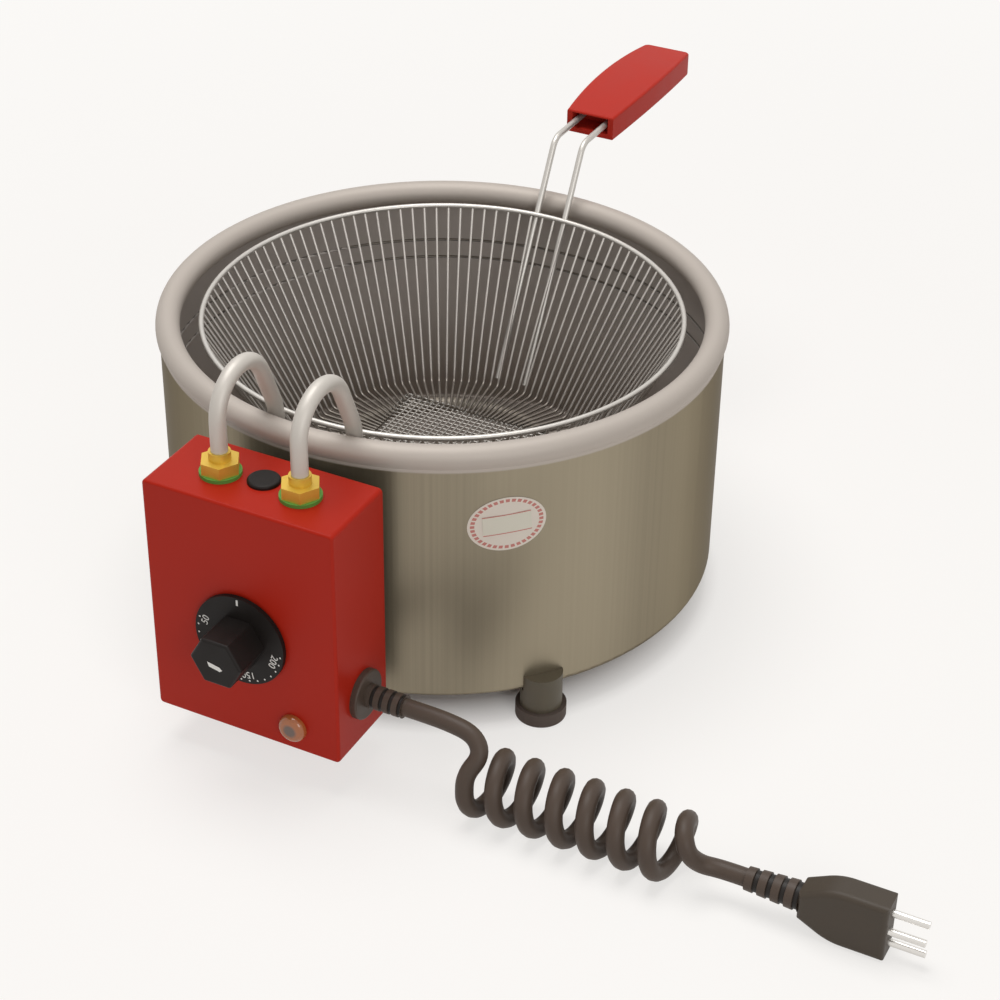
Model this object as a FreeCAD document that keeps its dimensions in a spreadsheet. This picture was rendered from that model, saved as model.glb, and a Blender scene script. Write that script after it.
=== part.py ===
import FreeCAD, Part
import itertools
import math
import os
import re

import Sketcher
from FreeCAD import Placement, Rotation, Vector

# An electric frying pot with a lift-off control head and a wire basket, in millimetres
# and degrees. The origin is on the pot's axis at floor level and +Z is up. The control
# head hangs on the -Y side, the basket's handle points to +Y and the cord leaves to +X.
doc = FreeCAD.newDocument("deep_fryer")

# Driving dimensions
SIZES = {
    # Clearances that several pieces share
    "fit_gap": 0.05,
    "seat_gap": 0.05,
    "rest_gap": 0.3,
    "overrun": 2.0,
    # Pot: a spun steel bowl whose rim is rolled into a bead
    "rim_radius": 163.0,
    "bead_radius": 6.9,
    "curl_tuck": 1.2,
    "wall_inset": 2.0,
    "wall_thickness": 2.0,
    "base_thickness": 3.0,
    "corner_radius": 4.0,
    "base_height": 20.0,
    "rim_rise": 153.1,
    "mark_rise": 118.3,
    "mark_spacing": 12.1,
    "mark_groove": 1.0,
    # Feet: turned legs that hook round the pot's lower corner, on rubber pads
    "foot_count": 4,
    "foot_turn": -41.8,
    "foot_inset": 4.4,
    "leg_radius": 11.8,
    "leg_lip": 10.2,
    "pad_radius": 14.3,
    "pad_height": 8.7,
    "pad_socket": 3.0,
    "pad_round": 1.5,
    "stud_radius": 2.5,
    "stud_inset": 6.0,
    "stud_length": 9.0,
    # Hanger: the pocket on the pot's wall and the head's tongue that drops into it
    "rim_clear": 1.4,
    "tongue_width": 36.0,
    "tongue_thickness": 2.5,
    "tongue_gap": 0.3,
    "lip_thickness": 2.2,
    "back_gap": 1.3,
    "hanger_width": 46.0,
    "hanger_height": 32.0,
    "hanger_rise": 90.0,
    "hanger_bite": 10.0,
    "pocket_depth": 24.0,
    "hook_flange": 17.0,
    "rivet_radius": 2.2,
    "rivet_head": 3.8,
    "rivet_cap": 0.8,
    "rivet_offset": 15.0,
    "hook_rivet_offset": 10.0,
    "bumper_radius": 6.0,
    "bumper_offset": 30.0,
    "bumper_rise": 25.0,
    # Control box: a folded steel cover closed by a back plate
    "box_width": 113.1,
    "box_depth": 50.2,
    "box_height": 144.1,
    "box_drop": 5.6,
    "box_corner": 2.5,
    "box_edge": 1.6,
    "cover_thickness": 1.2,
    "plate_thickness": 1.2,
    "tab_size": 13.0,
    "screw_inset": 7.5,
    "screw_radius": 1.5,
    "screw_head": 2.8,
    "screw_cap": 1.8,
    "screw_length": 7.0,
    # Heating element: one bent tube through two brass glands
    "tube_radius": 4.5,
    "gland_spacing": 47.8,
    "gland_setback": 25.8,
    "element_tail": 40.0,
    "arch_radius": 22.0,
    "arch_rise": 30.3,
    "leg_lean": 24.0,
    "leg_bend": 40.0,
    "leg_gap": 0.65,
    "loop_rise": 50.5,
    "loop_radius": 68.0,
    "loop_fillet": 20.0,
    "heel_bend": 20.0,
    "pin_radius": 1.8,
    "pin_length": 12.0,
    "washer_radius": 11.2,
    "washer_thickness": 2.0,
    "gland_flats": 19.0,
    "gland_height": 6.7,
    "collar_radius": 5.9,
    "collar_height": 4.8,
    "gland_thread": 7.0,
    "gland_nut_height": 5.0,
    "thread_end": 1.0,
    "stopper_radius": 8.8,
    "stopper_height": 2.2,
    "stopper_round": 1.4,
    "stopper_stem": 6.5,
    "stopper_setback": 22.4,
    # Thermostat and its knob
    "knob_rise": 63.4,
    "thermostat_width": 36.0,
    "thermostat_height": 36.0,
    "thermostat_depth": 27.0,
    "bush_radius": 5.0,
    "bush_length": 5.0,
    "bush_reach": 3.2,
    "bush_nut_flats": 14.0,
    "bush_nut_height": 2.4,
    "spindle_radius": 3.0,
    "spindle_depth": 12.0,
    "spindle_reach": 17.0,
    "knob_radius": 26.8,
    "knob_gap": 0.5,
    "skirt_thickness": 2.6,
    "grip_flats": 27.0,
    "knob_reach": 26.0,
    "knob_round": 1.6,
    "knob_recess": 9.6,
    "recess_depth": 4.2,
    "bulb_radius": 3.0,
    "bulb_length": 60.0,
    "bulb_rise": 88.6,
    "clip_width": 10.0,
    "clip_height": 12.0,
    "clip_depth": 8.0,
    "capillary_radius": 0.75,
    "capillary_offset": 12.0,
    "capillary_bend": 6.0,
    "capillary_lead": 6.0,
    # Pilot lamp, terminals and cord entry
    "lamp_offset": 29.0,
    "lamp_rise": 14.8,
    "lens_radius": 8.0,
    "lens_height": 4.4,
    "lens_round": 3.4,
    "lamp_body_radius": 5.5,
    "lamp_body_length": 24.0,
    "lamp_ring_radius": 8.0,
    "lamp_ring_thickness": 2.0,
    "terminal_length": 34.0,
    "terminal_depth": 14.0,
    "terminal_height": 16.0,
    "terminal_rise": 8.0,
    "terminal_offset": 42.0,
    "earth_offset": 40.0,
    "earth_rise": 70.0,
    "earth_radius": 2.0,
    "earth_head": 3.5,
    "earth_cap": 2.6,
    "cord_radius": 4.9,
    "cord_setback": 24.6,
    "cord_rise": 30.1,
    "flange_radius": 14.0,
    "flange_thickness": 4.0,
    "flange_round": 1.2,
    "stem_radius": 8.5,
    "cord_nut_flats": 23.0,
    "cord_nut_height": 5.0,
    "cord_tail": 16.0,
    "relief_length": 21.5,
    "relief_root": 6.6,
    "relief_tip": 6.4,
    "rib_groove": 0.9,
    "relief_ribs": 4,
    # Basket: radial wires between a ring and a square floor mesh
    "ring_wire": 1.5,
    "ring_rise": 152.7,
    "wall_wire": 0.8,
    "wire_count": 114,
    "floor_circle": 84.8,
    "wire_bend": 4.0,
    "mesh_half": 53.0,
    "mesh_cells": 28,
    "mesh_bar": 1.2,
    "mesh_thickness": 1.6,
    "mesh_lap": 5.0,
    "weld_sink": 0.15,
    "handle_spacing": 18.8,
    "handle_wire": 1.9,
    "handle_rise": 40.8,
    "handle_bend": 10.0,
    "handle_foot": 5.0,
    "handle_reach": 45.0,
    "grip_start": 193.5,
    "grip_length": 121.0,
    "grip_width": 31.6,
    "grip_height": 15.4,
    "grip_drop": 8.9,
    "grip_corner": 4.0,
    "grip_edge": 1.5,
    "grip_bow": 3.6,
    "grip_arch": 2.6,
    "mouth_margin": 0.9,
    "mouth_height": 10.0,
    "mouth_depth": 16.0,
    # Cord curls and the plug that lies at their end
    "curl_radius": 15.5,
    "curl_pitch": 17.3,
    "curl_start": 124.6,
    "curl_quarters": 27,
    "curl_lift": 0.2,
    "curl_line": 194.2,
    "lead_end": 100.0,
    "curl_run": 10.0,
    "curl_exit": 255.0,
    "plug_lift": 0.4,
    "plug_line": 195.2,
    "boot_start": 277.0,
    "boot_length": 29.0,
    "boot_root": 8.0,
    "boot_tip": 6.2,
    "boot_ribs": 4,
    "plug_length": 46.0,
    "plug_width": 34.0,
    "plug_thickness": 16.5,
    "plug_neck": 16.0,
    "shoulder_length": 17.0,
    "shoulder_round": 30.0,
    "plug_round": 3.0,
    "pin_spacing": 19.0,
    "earth_pin_shift": 3.0,
    "plug_pin_radius": 2.0,
    "plug_pin_length": 19.0,
    "plug_pin_root": 10.0,
}

# Places that follow from the driving dimensions
PLACES = {
    "wall_outer": "rim_radius - wall_inset",
    "wall_inner": "wall_outer - wall_thickness",
    "bead_circle": "rim_radius - bead_radius",
    "rim_height": "base_height + rim_rise",
    "foot_circle": "rim_radius - foot_inset",
    "leg_bottom": "pad_height - pad_socket",
    "tongue_inner": "rim_radius + rim_clear",
    "tongue_outer": "tongue_inner + tongue_thickness",
    "hanger_face": "tongue_outer + tongue_gap + lip_thickness",
    "hanger_bottom": "base_height + hanger_rise",
    "hanger_top": "hanger_bottom + hanger_height",
    "hook_bottom": "hanger_top + rest_gap",
    "pocket_bottom": "hanger_top - pocket_depth",
    "box_back": "hanger_face + back_gap",
    "box_front": "box_back + box_depth",
    "box_top": "rim_height - box_drop",
    "box_bottom": "box_top - box_height",
    "box_side": "box_width / 2",
    "plate_inside": "box_back + plate_thickness",
    "panel_inside": "box_front - cover_thickness",
    "top_inside": "box_top - cover_thickness",
    "side_inside": "box_side - cover_thickness",
    "screw_x": "box_side - cover_thickness - screw_inset",
    "screw_low": "box_bottom + cover_thickness + screw_inset",
    "screw_high": "top_inside - screw_inset",
    "gland_x": "gland_spacing / 2",
    "gland_y": "box_back + gland_setback",
    "gland_seat": "box_top + washer_thickness",
    "element_end": "box_top - element_tail",
    "arch_height": "box_top + arch_rise",
    "leg_circle": "bead_circle - bead_radius - leg_gap - tube_radius",
    "leg_y": "sqrt(leg_circle ^ 2 - gland_x ^ 2)",
    "loop_height": "base_height + loop_rise",
    "ring_circle": "leg_circle - tube_radius - leg_gap - ring_wire",
    "ring_height": "base_height + ring_rise",
    "mesh_bottom": "loop_height + tube_radius + rest_gap",
    "mesh_top": "mesh_bottom + mesh_thickness",
    "floor_height": "mesh_top - weld_sink + wall_wire",
    "handle_height": "ring_height + handle_rise",
    "grip_bottom": "handle_height - grip_drop",
    "mouth_bottom": "handle_height - mouth_height / 2",
    "mouth_width": "handle_spacing + 2 * handle_wire + 2 * mouth_margin",
    "knob_height": "box_bottom + knob_rise",
    "knob_back": "box_front + knob_gap",
    "thermostat_front": "panel_inside - bush_length",
    "thermostat_back": "thermostat_front - thermostat_depth",
    "bulb_height": "box_bottom + bulb_rise",
    "bulb_y": "plate_inside + clip_depth / 2",
    "lamp_height": "box_bottom + lamp_rise",
    "terminal_bottom": "box_bottom + cover_thickness + terminal_rise",
    "earth_height": "box_bottom + earth_rise",
    "cord_y": "box_back + cord_setback",
    "cord_height": "box_bottom + cord_rise",
    "flange_end": "box_side + flange_thickness",
    "relief_end": "flange_end + relief_length",
    "curl_height": "curl_radius + cord_radius + curl_lift",
    "plug_height": "plug_width / 2 + plug_lift",
    "plug_start": "boot_start + boot_length",
    "plug_end": "plug_start + plug_length",
}

sizes = doc.addObject("Spreadsheet::Sheet", "sizes")
for row, (alias, number) in enumerate(SIZES.items(), start=1):
    sizes.set(f"A{row}", str(number))
    sizes.setAlias(f"A{row}", alias)
places = doc.addObject("App::VarSet", "places")
doc.recompute()

WORD = re.compile(r"[a-z_]+")
HOLDERS = {**{name: "places" for name in PLACES}, **{name: "sizes" for name in SIZES}}


def linked(formula):
    """Write a formula of plain names as one that points at the sheet and the places."""
    def point(match):
        word = match.group()
        return f"{HOLDERS[word]}.{word}" if word in HOLDERS else word
    return WORD.sub(point, formula)


def bind(item, links):
    for path, formula in links.items():
        item.setExpression(path, linked(formula))


for name, formula in PLACES.items():
    places.addProperty("App::PropertyFloat", name)
    bind(places, {name: formula})
doc.recompute()


def mm(name):
    """The present number of a driving dimension or a place."""
    return float(sizes.get(name)) if name in SIZES else float(getattr(places, name))


# Building helpers
TURNS = {
    "+Z": Rotation(),
    "+X": Rotation(Vector(0, 1, 0), 90),
    "+Y": Rotation(Vector(1, 0, 0), -90),
    "-Y": Rotation(Vector(1, 0, 0), 90),
}
UP = Vector(0, 0, 1)
TOUCH = 1e-4
SIDES = (("left", "-"), ("right", "+"))
pieces = []


def piece(item, label):
    """Keep an object as a sub-part of the assembly under its own label."""
    item.Label = label
    pieces.append(item)
    return item


def place(item, at, axis="+Z"):
    item.Placement = Placement(Vector(), TURNS[axis])
    bind(item, {f"Placement.Base.{letter}": formula for letter, formula in zip("xyz", at)})
    return item


def primitive(kind, name, links, at, axis="+Z", body=None):
    item = body.newObject(kind, name) if body else doc.addObject(kind, name)
    bind(item, links)
    return place(item, at, axis)


def cylinder(name, radius, height, at, axis="+Z"):
    return primitive("Part::Cylinder", name, {"Radius": radius, "Height": height}, at, axis)


def hexagon(name, flats, height, at, axis="+Z"):
    corner = f"({flats}) / sqrt(3)"
    return primitive("Part::Prism", name, {"Circumradius": corner, "Height": height}, at, axis)


def block(name, size, at):
    return primitive("Part::Box", name, dict(zip(("Length", "Width", "Height"), size)), at)


def fuse(name, *shapes):
    item = doc.addObject("Part::MultiFuse", name)
    item.Shapes = list(shapes)
    return item


def cut(name, base, *tools):
    item = doc.addObject("Part::Cut", name)
    item.Base = base
    item.Tool = tools[0] if len(tools) == 1 else fuse(f"{name}_tools", *tools)
    return item


def common(name, *shapes):
    item = doc.addObject("Part::MultiCommon", name)
    item.Shapes = list(shapes)
    return item


def group(name, solids):
    item = doc.addObject("Part::Compound", name)
    item.Links = list(solids)
    return item


def sketch_on(body, role, name, at=("0", "0", "0")):
    """A sketch on one of the body's own planes, its origin moved by three formulas."""
    sketch = body.newObject("Sketcher::SketchObject", name)
    plane = next(item for item in body.Origin.OriginFeatures if item.Role == role)
    sketch.AttachmentSupport = [(plane, "")]
    sketch.MapMode = "FlatFace"
    bind(sketch, {f"AttachmentOffset.Base.{letter}": formula for letter, formula in zip("xyz", at)})
    return sketch


def limit(sketch, name, formula, *constraint):
    """Add a dimension to a sketch and bind it."""
    index = sketch.addConstraint(Sketcher.Constraint(*constraint))
    sketch.renameConstraint(index, name)
    bind(sketch, {f"Constraints.{name}": formula})


def chain(sketch, geometry):
    """Add edges to a sketch, each joined to the next and the last to the first."""
    sketch.addGeometry(geometry)
    for index, edge in enumerate(geometry):
        following = (index + 1) % len(geometry)
        pairs = itertools.product((1, 2), (1, 2))
        near = min(pairs, key=lambda pair: gap_between(edge, geometry[following], *pair))
        sketch.addConstraint(Sketcher.Constraint("Coincident", index, near[0], following, near[1]))


def gap_between(edge, other, end, other_end):
    points = [(item.StartPoint, item.EndPoint) for item in (edge, other)]
    return points[0][end - 1].distanceToPoint(points[1][other_end - 1])


def rectangle(sketch, width, height):
    """A rectangle with one corner on the sketch's origin."""
    guess = 9.0
    corners = [Vector(0, 0), Vector(guess, 0), Vector(guess, guess), Vector(0, guess)]
    chain(sketch, [Part.LineSegment(a, b) for a, b in zip(corners, corners[1:] + corners[:1])])
    for kind, lines in (("Horizontal", (0, 2)), ("Vertical", (1, 3))):
        for line in lines:
            sketch.addConstraint(Sketcher.Constraint(kind, line))
    sketch.addConstraint(Sketcher.Constraint("Coincident", 0, 1, -1, 1))
    limit(sketch, "width", width, "DistanceX", 0, 1, 0, 2, guess)
    limit(sketch, "height", height, "DistanceY", 1, 1, 1, 2, guess)


def feature(body, kind, name, sketch, length, reverse=False):
    item = body.newObject(f"PartDesign::{kind}", name)
    item.Profile = sketch
    item.Reversed = reverse
    bind(item, {"Length": length})
    return item


def rounded(body, base, name, radius, chosen):
    """Fillet the edges of the body that a test picks out."""
    doc.recompute()
    item = body.newObject("PartDesign::Fillet", name)
    edges = enumerate(base.Shape.Edges, start=1)
    item.Base = (base, [f"Edge{index}" for index, edge in edges if chosen(edge)])
    bind(item, {"Radius": radius})
    return item


def on_side(base, side):
    """A test for the edges that lie on one side of a shape's bounds, such as YMin."""
    doc.recompute()
    bound = getattr(base.Shape.BoundBox, side)

    def lies_there(edge):
        ends = (getattr(edge.BoundBox, side[0] + end) for end in ("Min", "Max"))
        return all(abs(end - bound) < TOUCH for end in ends)
    return lies_there


def runs_along(axis):
    """A test for the straight edges that run along one axis."""
    others = [letter for letter in "XYZ" if letter != axis]
    return lambda edge: all(getattr(edge.BoundBox, f"{letter}Length") < TOUCH for letter in others)


def shaped(label, shape):
    """A piece whose shape is swept or lofted from the numbers of the sheet."""
    item = doc.addObject("Part::Feature", label)
    item.Shape = shape
    item.Placement = Placement()
    return piece(item, label)


class Trail:
    """A bent-wire path: straight runs and tangent arcs laid one after another."""

    WIDEST_ARC = 120
    VOLUME_SLACK = 0.01

    def __init__(self, point, heading):
        self.point = Vector(point)
        self.heading = Vector(heading).normalize()
        self.edges = []

    def straight(self, length):
        end = self.point + self.heading * length
        self.edges.append(Part.LineSegment(self.point, end).toShape())
        self.point = end

    def bend(self, radius, angle, toward):
        toward = Vector(toward).normalize()
        centre = self.point + toward * radius
        axis = self.heading.cross(toward)
        arcs = math.ceil(angle / self.WIDEST_ARC)
        half = Rotation(axis, angle / arcs / 2)
        for _ in range(arcs):
            middle = centre + half.multVec(self.point - centre)
            end = centre + half.multVec(middle - centre)
            self.edges.append(Part.Arc(self.point, middle, end).toShape())
            self.heading = half.multVec(half.multVec(self.heading))
            self.point = end

    def biarc(self, end, heading):
        """Two tangent arcs to a point that is reached with a given heading."""
        heading = Vector(heading).normalize()
        reach = end - self.point
        along = reach.dot(self.heading + heading)
        spread = 2 * (1 - self.heading.dot(heading))
        arm = (math.sqrt(along * along + spread * reach.dot(reach)) - along) / spread
        joint = (self.point + end + (self.heading - heading) * arm) * 0.5
        for target in (joint, end):
            chord = target - self.point
            lean = self.heading.dot(chord) / chord.Length
            turn = 2 * math.acos(min(1.0, lean))
            side = chord - self.heading * chord.dot(self.heading)
            radius = chord.Length / (2 * math.sin(turn / 2))
            self.bend(radius, math.degrees(turn), side)

    def pipe(self, radius):
        """The solid tube along the path, with its volume compared with its length."""
        path = Part.Wire(self.edges)
        start = self.edges[0]
        mouth = Part.makeCircle(radius, start.valueAt(start.FirstParameter),
                                start.tangentAt(start.FirstParameter))
        tube = path.makePipeShell([Part.Wire(mouth)], True, False)
        expected = math.pi * radius ** 2 * path.Length
        if abs(tube.Volume / expected - 1) > self.VOLUME_SLACK:
            raise ValueError(f"tube volume {tube.Volume:.0f}, expected {expected:.0f}")
        return tube


CREST_END, GROOVE_START, GROOVE_END = 0.6, 0.66, 0.94


def ribbed(start, length, ribs, root, tip, groove, y, height):
    """A tapering sleeve along +X with square-cut ribs: four circles to each rib."""
    step = length / ribs
    stations = []
    for rib in range(ribs):
        for share, depth in ((0, 0), (CREST_END, 0), (GROOVE_START, groove), (GROOVE_END, groove)):
            x = start + (rib + share) * step
            stations.append((x, root + (tip - root) * (x - start) / length - depth))
    stations.append((start + length, tip))
    rings = [Part.Wire(Part.makeCircle(radius, Vector(x, y, height), Vector(1, 0, 0)))
             for x, radius in stations]
    return Part.makeLoft(rings, True, True)


# Pot shell: a profile with a rolled bead is spun about Z, then marks and rivet holes are cut
pot_body = doc.addObject("PartDesign::Body", "pot_body")
profile = sketch_on(pot_body, "XZ_Plane", "pot_profile")
outer, inner, rim = mm("wall_outer"), mm("wall_inner"), mm("rim_height")
low, floor = mm("base_height"), mm("base_height") + mm("base_thickness")
bead, bead_x = mm("bead_radius"), mm("bead_circle")
sheet = mm("wall_thickness")
corner = mm("corner_radius")
inner_corner = corner - sheet
outer_turn = math.asin((outer - bead_x) / bead) - math.pi / 2
inner_turn = math.asin((inner - bead_x) / (bead - sheet)) - math.pi / 2
tuck_turn = math.asin(mm("curl_tuck") / bead) + 3 * math.pi / 2


def sketch_arc(x, y, radius, start, end):
    return Part.ArcOfCircle(Part.Circle(Vector(x, y), UP, radius), start, end)


bead_arc = sketch_arc(bead_x, rim, bead, outer_turn, tuck_turn)
hollow_arc = sketch_arc(bead_x, rim, bead - sheet, inner_turn, tuck_turn)
outer_corner_arc = sketch_arc(outer - corner, low + corner, corner, -math.pi / 2, 0)
inner_corner_arc = sketch_arc(inner - inner_corner, floor + inner_corner, inner_corner, -math.pi / 2, 0)
chain(profile, [
    Part.LineSegment(Vector(0, low), outer_corner_arc.StartPoint),
    outer_corner_arc,
    Part.LineSegment(outer_corner_arc.EndPoint, bead_arc.StartPoint),
    bead_arc,
    Part.LineSegment(bead_arc.EndPoint, hollow_arc.EndPoint),
    hollow_arc,
    Part.LineSegment(hollow_arc.StartPoint, inner_corner_arc.EndPoint),
    inner_corner_arc,
    Part.LineSegment(inner_corner_arc.StartPoint, Vector(0, floor)),
    Part.LineSegment(Vector(0, floor), Vector(0, low)),
])
UNDERSIDE, OUTER_CORNER, OUTER_WALL, BEAD, TUCK, HOLLOW, INNER_WALL, INNER_CORNER, FLOOR, AXIS = range(10)
for line in (UNDERSIDE, FLOOR):
    profile.addConstraint(Sketcher.Constraint("Horizontal", line))
for line in (OUTER_WALL, INNER_WALL, AXIS):
    profile.addConstraint(Sketcher.Constraint("Vertical", line))
for arc in (OUTER_CORNER, INNER_CORNER):
    profile.addConstraint(Sketcher.Constraint("Vertical", arc, 1, arc, 3))
    profile.addConstraint(Sketcher.Constraint("Horizontal", arc, 2, arc, 3))
profile.addConstraint(Sketcher.Constraint("PointOnObject", UNDERSIDE, 1, -2))
profile.addConstraint(Sketcher.Constraint("Coincident", HOLLOW, 3, BEAD, 3))
profile.addConstraint(Sketcher.Constraint("PointOnObject", BEAD, 3, TUCK))
limit(profile, "underside", "base_height", "DistanceY", -1, 1, UNDERSIDE, 1, low)
limit(profile, "thick_base", "base_thickness", "DistanceY", UNDERSIDE, 1, FLOOR, 2, floor - low)
limit(profile, "outside", "wall_outer", "DistanceX", -1, 1, OUTER_WALL, 1, outer)
limit(profile, "inside", "wall_inner", "DistanceX", -1, 1, INNER_WALL, 1, inner)
limit(profile, "bead_x", "bead_circle", "DistanceX", -1, 1, BEAD, 3, bead_x)
limit(profile, "bead_y", "rim_height", "DistanceY", -1, 1, BEAD, 3, rim)
limit(profile, "tuck", "curl_tuck", "DistanceX", BEAD, 3, BEAD, 2, mm("curl_tuck"))
limit(profile, "bead", "bead_radius", "Radius", BEAD, bead)
limit(profile, "hollow", "bead_radius - wall_thickness", "Radius", HOLLOW, bead - sheet)
limit(profile, "corner", "corner_radius", "Radius", OUTER_CORNER, corner)
limit(profile, "inner_corner", "corner_radius - wall_thickness", "Radius", INNER_CORNER, inner_corner)
spin = pot_body.newObject("PartDesign::Revolution", "pot_spin")
spin.Profile = profile
spin.ReferenceAxis = (profile, ["V_Axis"])
spin.Angle = 360


def rivet(name, x, height, front, back):
    """A two-headed rivet along Y, and the drill for its hole."""
    shank = cylinder(f"{name}_shank", "rivet_radius", f"{front} - ({back})", (x, f"-({back})", height), "-Y")
    head = cylinder(f"{name}_head", "rivet_head", "rivet_cap", (x, f"-({front})", height), "-Y")
    tail = cylinder(f"{name}_tail", "rivet_head", "rivet_cap", (x, f"rivet_cap - ({back})", height), "-Y")
    drill = cylinder(f"{name}_drill", "rivet_radius + fit_gap", f"{front} - ({back}) + 2 * overrun",
                     (x, f"overrun - ({back})", height), "-Y")
    return fuse(name, shank, head, tail), drill


marks = [
    primitive("Part::Torus", name, {"Radius1": "wall_inner", "Radius2": "mark_groove"}, ("0", "0", height))
    for name, height in (("upper_mark", "base_height + mark_rise"),
                         ("lower_mark", "base_height + mark_rise - mark_spacing"))
]
wall_rivets = [
    rivet(f"hanger_rivet_{side}", f"{sign}rivet_offset", "(hanger_bottom + pocket_bottom) / 2",
          "hanger_face", "sqrt(wall_inner ^ 2 - (rivet_offset + rivet_head) ^ 2)")
    for side, sign in SIDES
]
wall_drills = [drill for _, drill in wall_rivets]
piece(cut("pot_cut", pot_body, *marks, *wall_drills), "pot_shell")

# Feet: each leg carries the flat underside, hooks round the corner and stands in a rubber pad
notch = cylinder("foot_notch", "wall_outer + seat_gap", "leg_lip + overrun", ("0", "0", "base_height"))
studs = []
for number in range(1, int(mm("foot_count")) + 1):
    turn = f"(foot_turn + 360 * {number - 1} / foot_count)"
    x, y = f"foot_circle * cos{turn}", f"foot_circle * sin{turn}"
    stud_spot = [f"(foot_circle - stud_inset) * {wave}{turn}" for wave in ("cos", "sin")]
    leg = cylinder(f"leg_bar_{number}", "leg_radius", "base_height + leg_lip - leg_bottom",
                   (x, y, "leg_bottom"))
    drill = cylinder(f"stud_drill_{number}", "stud_radius + fit_gap", "stud_length + rest_gap + overrun",
                     (*stud_spot, "base_height - stud_length - rest_gap"))
    piece(cut(f"leg_cut_{number}", leg, notch, drill), f"foot_leg_{number}")
    studs.append(cylinder(f"stud_{number}", "stud_radius", "stud_length",
                          (*stud_spot, "base_height - stud_length")))
    pad_body = doc.addObject("PartDesign::Body", f"pad_body_{number}")
    primitive("PartDesign::AdditiveCylinder", f"pad_disc_{number}",
              {"Radius": "pad_radius", "Height": "pad_height"}, (x, y, "0"), body=pad_body)
    socket = primitive("PartDesign::SubtractiveCylinder", f"pad_socket_{number}",
                       {"Radius": "leg_radius + fit_gap", "Height": "pad_socket + overrun"},
                       (x, y, "leg_bottom"), body=pad_body)
    rounded(pad_body, socket, f"pad_edge_{number}", "pad_round", on_side(socket, "ZMin"))
    piece(pad_body, f"foot_pad_{number}")
piece(group("studs", studs), "foot_studs")

# Hanger: a pocket bracket saddled on the pot's wall, its rivets, and the lower bumpers
saddle = cylinder("wall_saddle", "wall_outer + seat_gap", "rim_height", ("0", "0", "base_height"))
hanger_block = block("hanger_block",
                     ("hanger_width", "hanger_face - wall_outer + hanger_bite", "hanger_height"),
                     ("-hanger_width / 2", "-hanger_face", "hanger_bottom"))
pocket = block("hanger_pocket",
               ("tongue_width + 2 * tongue_gap", "tongue_thickness + 2 * tongue_gap",
                "pocket_depth + overrun"),
               ("-tongue_width / 2 - tongue_gap", "-tongue_outer - tongue_gap", "pocket_bottom"))
piece(cut("hanger_cut", hanger_block, saddle, pocket, *wall_drills), "hanger_bracket")
piece(group("wall_rivet_pair", [solid for solid, _ in wall_rivets]), "hanger_rivets")
bumpers = []
for side, sign in SIDES:
    peg = cylinder(f"bumper_peg_{side}", "bumper_radius", "box_back - rest_gap - wall_outer + hanger_bite",
                   (f"{sign}bumper_offset", "hanger_bite - wall_outer", "base_height + bumper_rise"), "-Y")
    bumpers.append(cut(f"bumper_{side}", peg, saddle))
piece(group("bumper_pair", bumpers), "wall_bumpers")

# Control box cover: a folded steel box, open at the back, with tabs for the back plate's screws
cover_body = doc.addObject("PartDesign::Body", "cover_body")
cover_outline = sketch_on(cover_body, "XZ_Plane", "cover_outline", ("-box_side", "box_bottom", "box_back"))
rectangle(cover_outline, "box_width", "box_height")
cover_pad = feature(cover_body, "Pad", "cover_pad", cover_outline, "box_depth")
cover_corners = rounded(cover_body, cover_pad, "cover_corners", "box_corner", runs_along("Y"))
rounded(cover_body, cover_corners, "cover_front_edge", "box_edge", on_side(cover_corners, "YMin"))
cover_hollow = sketch_on(cover_body, "XZ_Plane", "cover_hollow",
                         ("-side_inside", "box_bottom + cover_thickness", "box_back"))
rectangle(cover_hollow, "2 * side_inside", "box_height - 2 * cover_thickness")
feature(cover_body, "Pocket", "cover_pocket", cover_hollow, "box_depth - cover_thickness", reverse=True)

tabs = []
screws = []
screw_drills = []
for side, sign in SIDES:
    tab_x = "side_inside - tab_size" if sign == "+" else "-side_inside - cover_thickness / 2"
    for level, tab_z in (("low", "box_bottom + cover_thickness / 2"), ("high", "top_inside - tab_size")):
        tab_side = "tab_size + cover_thickness / 2"
        tabs.append(block(f"tab_{level}_{side}", (tab_side, "cover_thickness", tab_side),
                          (tab_x, "-plate_inside - cover_thickness", tab_z)))
        x, z = f"{sign}screw_x", f"screw_{level}"
        shank = cylinder(f"screw_shank_{level}_{side}", "screw_radius", "screw_length",
                         (x, "-box_back", z), "-Y")
        head = cylinder(f"screw_head_{level}_{side}", "screw_head", "screw_cap",
                        (x, "screw_cap - box_back", z), "-Y")
        screws.append(fuse(f"screw_{level}_{side}", shank, head))
        screw_drills.append(cylinder(f"screw_drill_{level}_{side}", "screw_radius + fit_gap",
                                     "screw_length + 2 * overrun", (x, "overrun - box_back", z), "-Y"))

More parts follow.
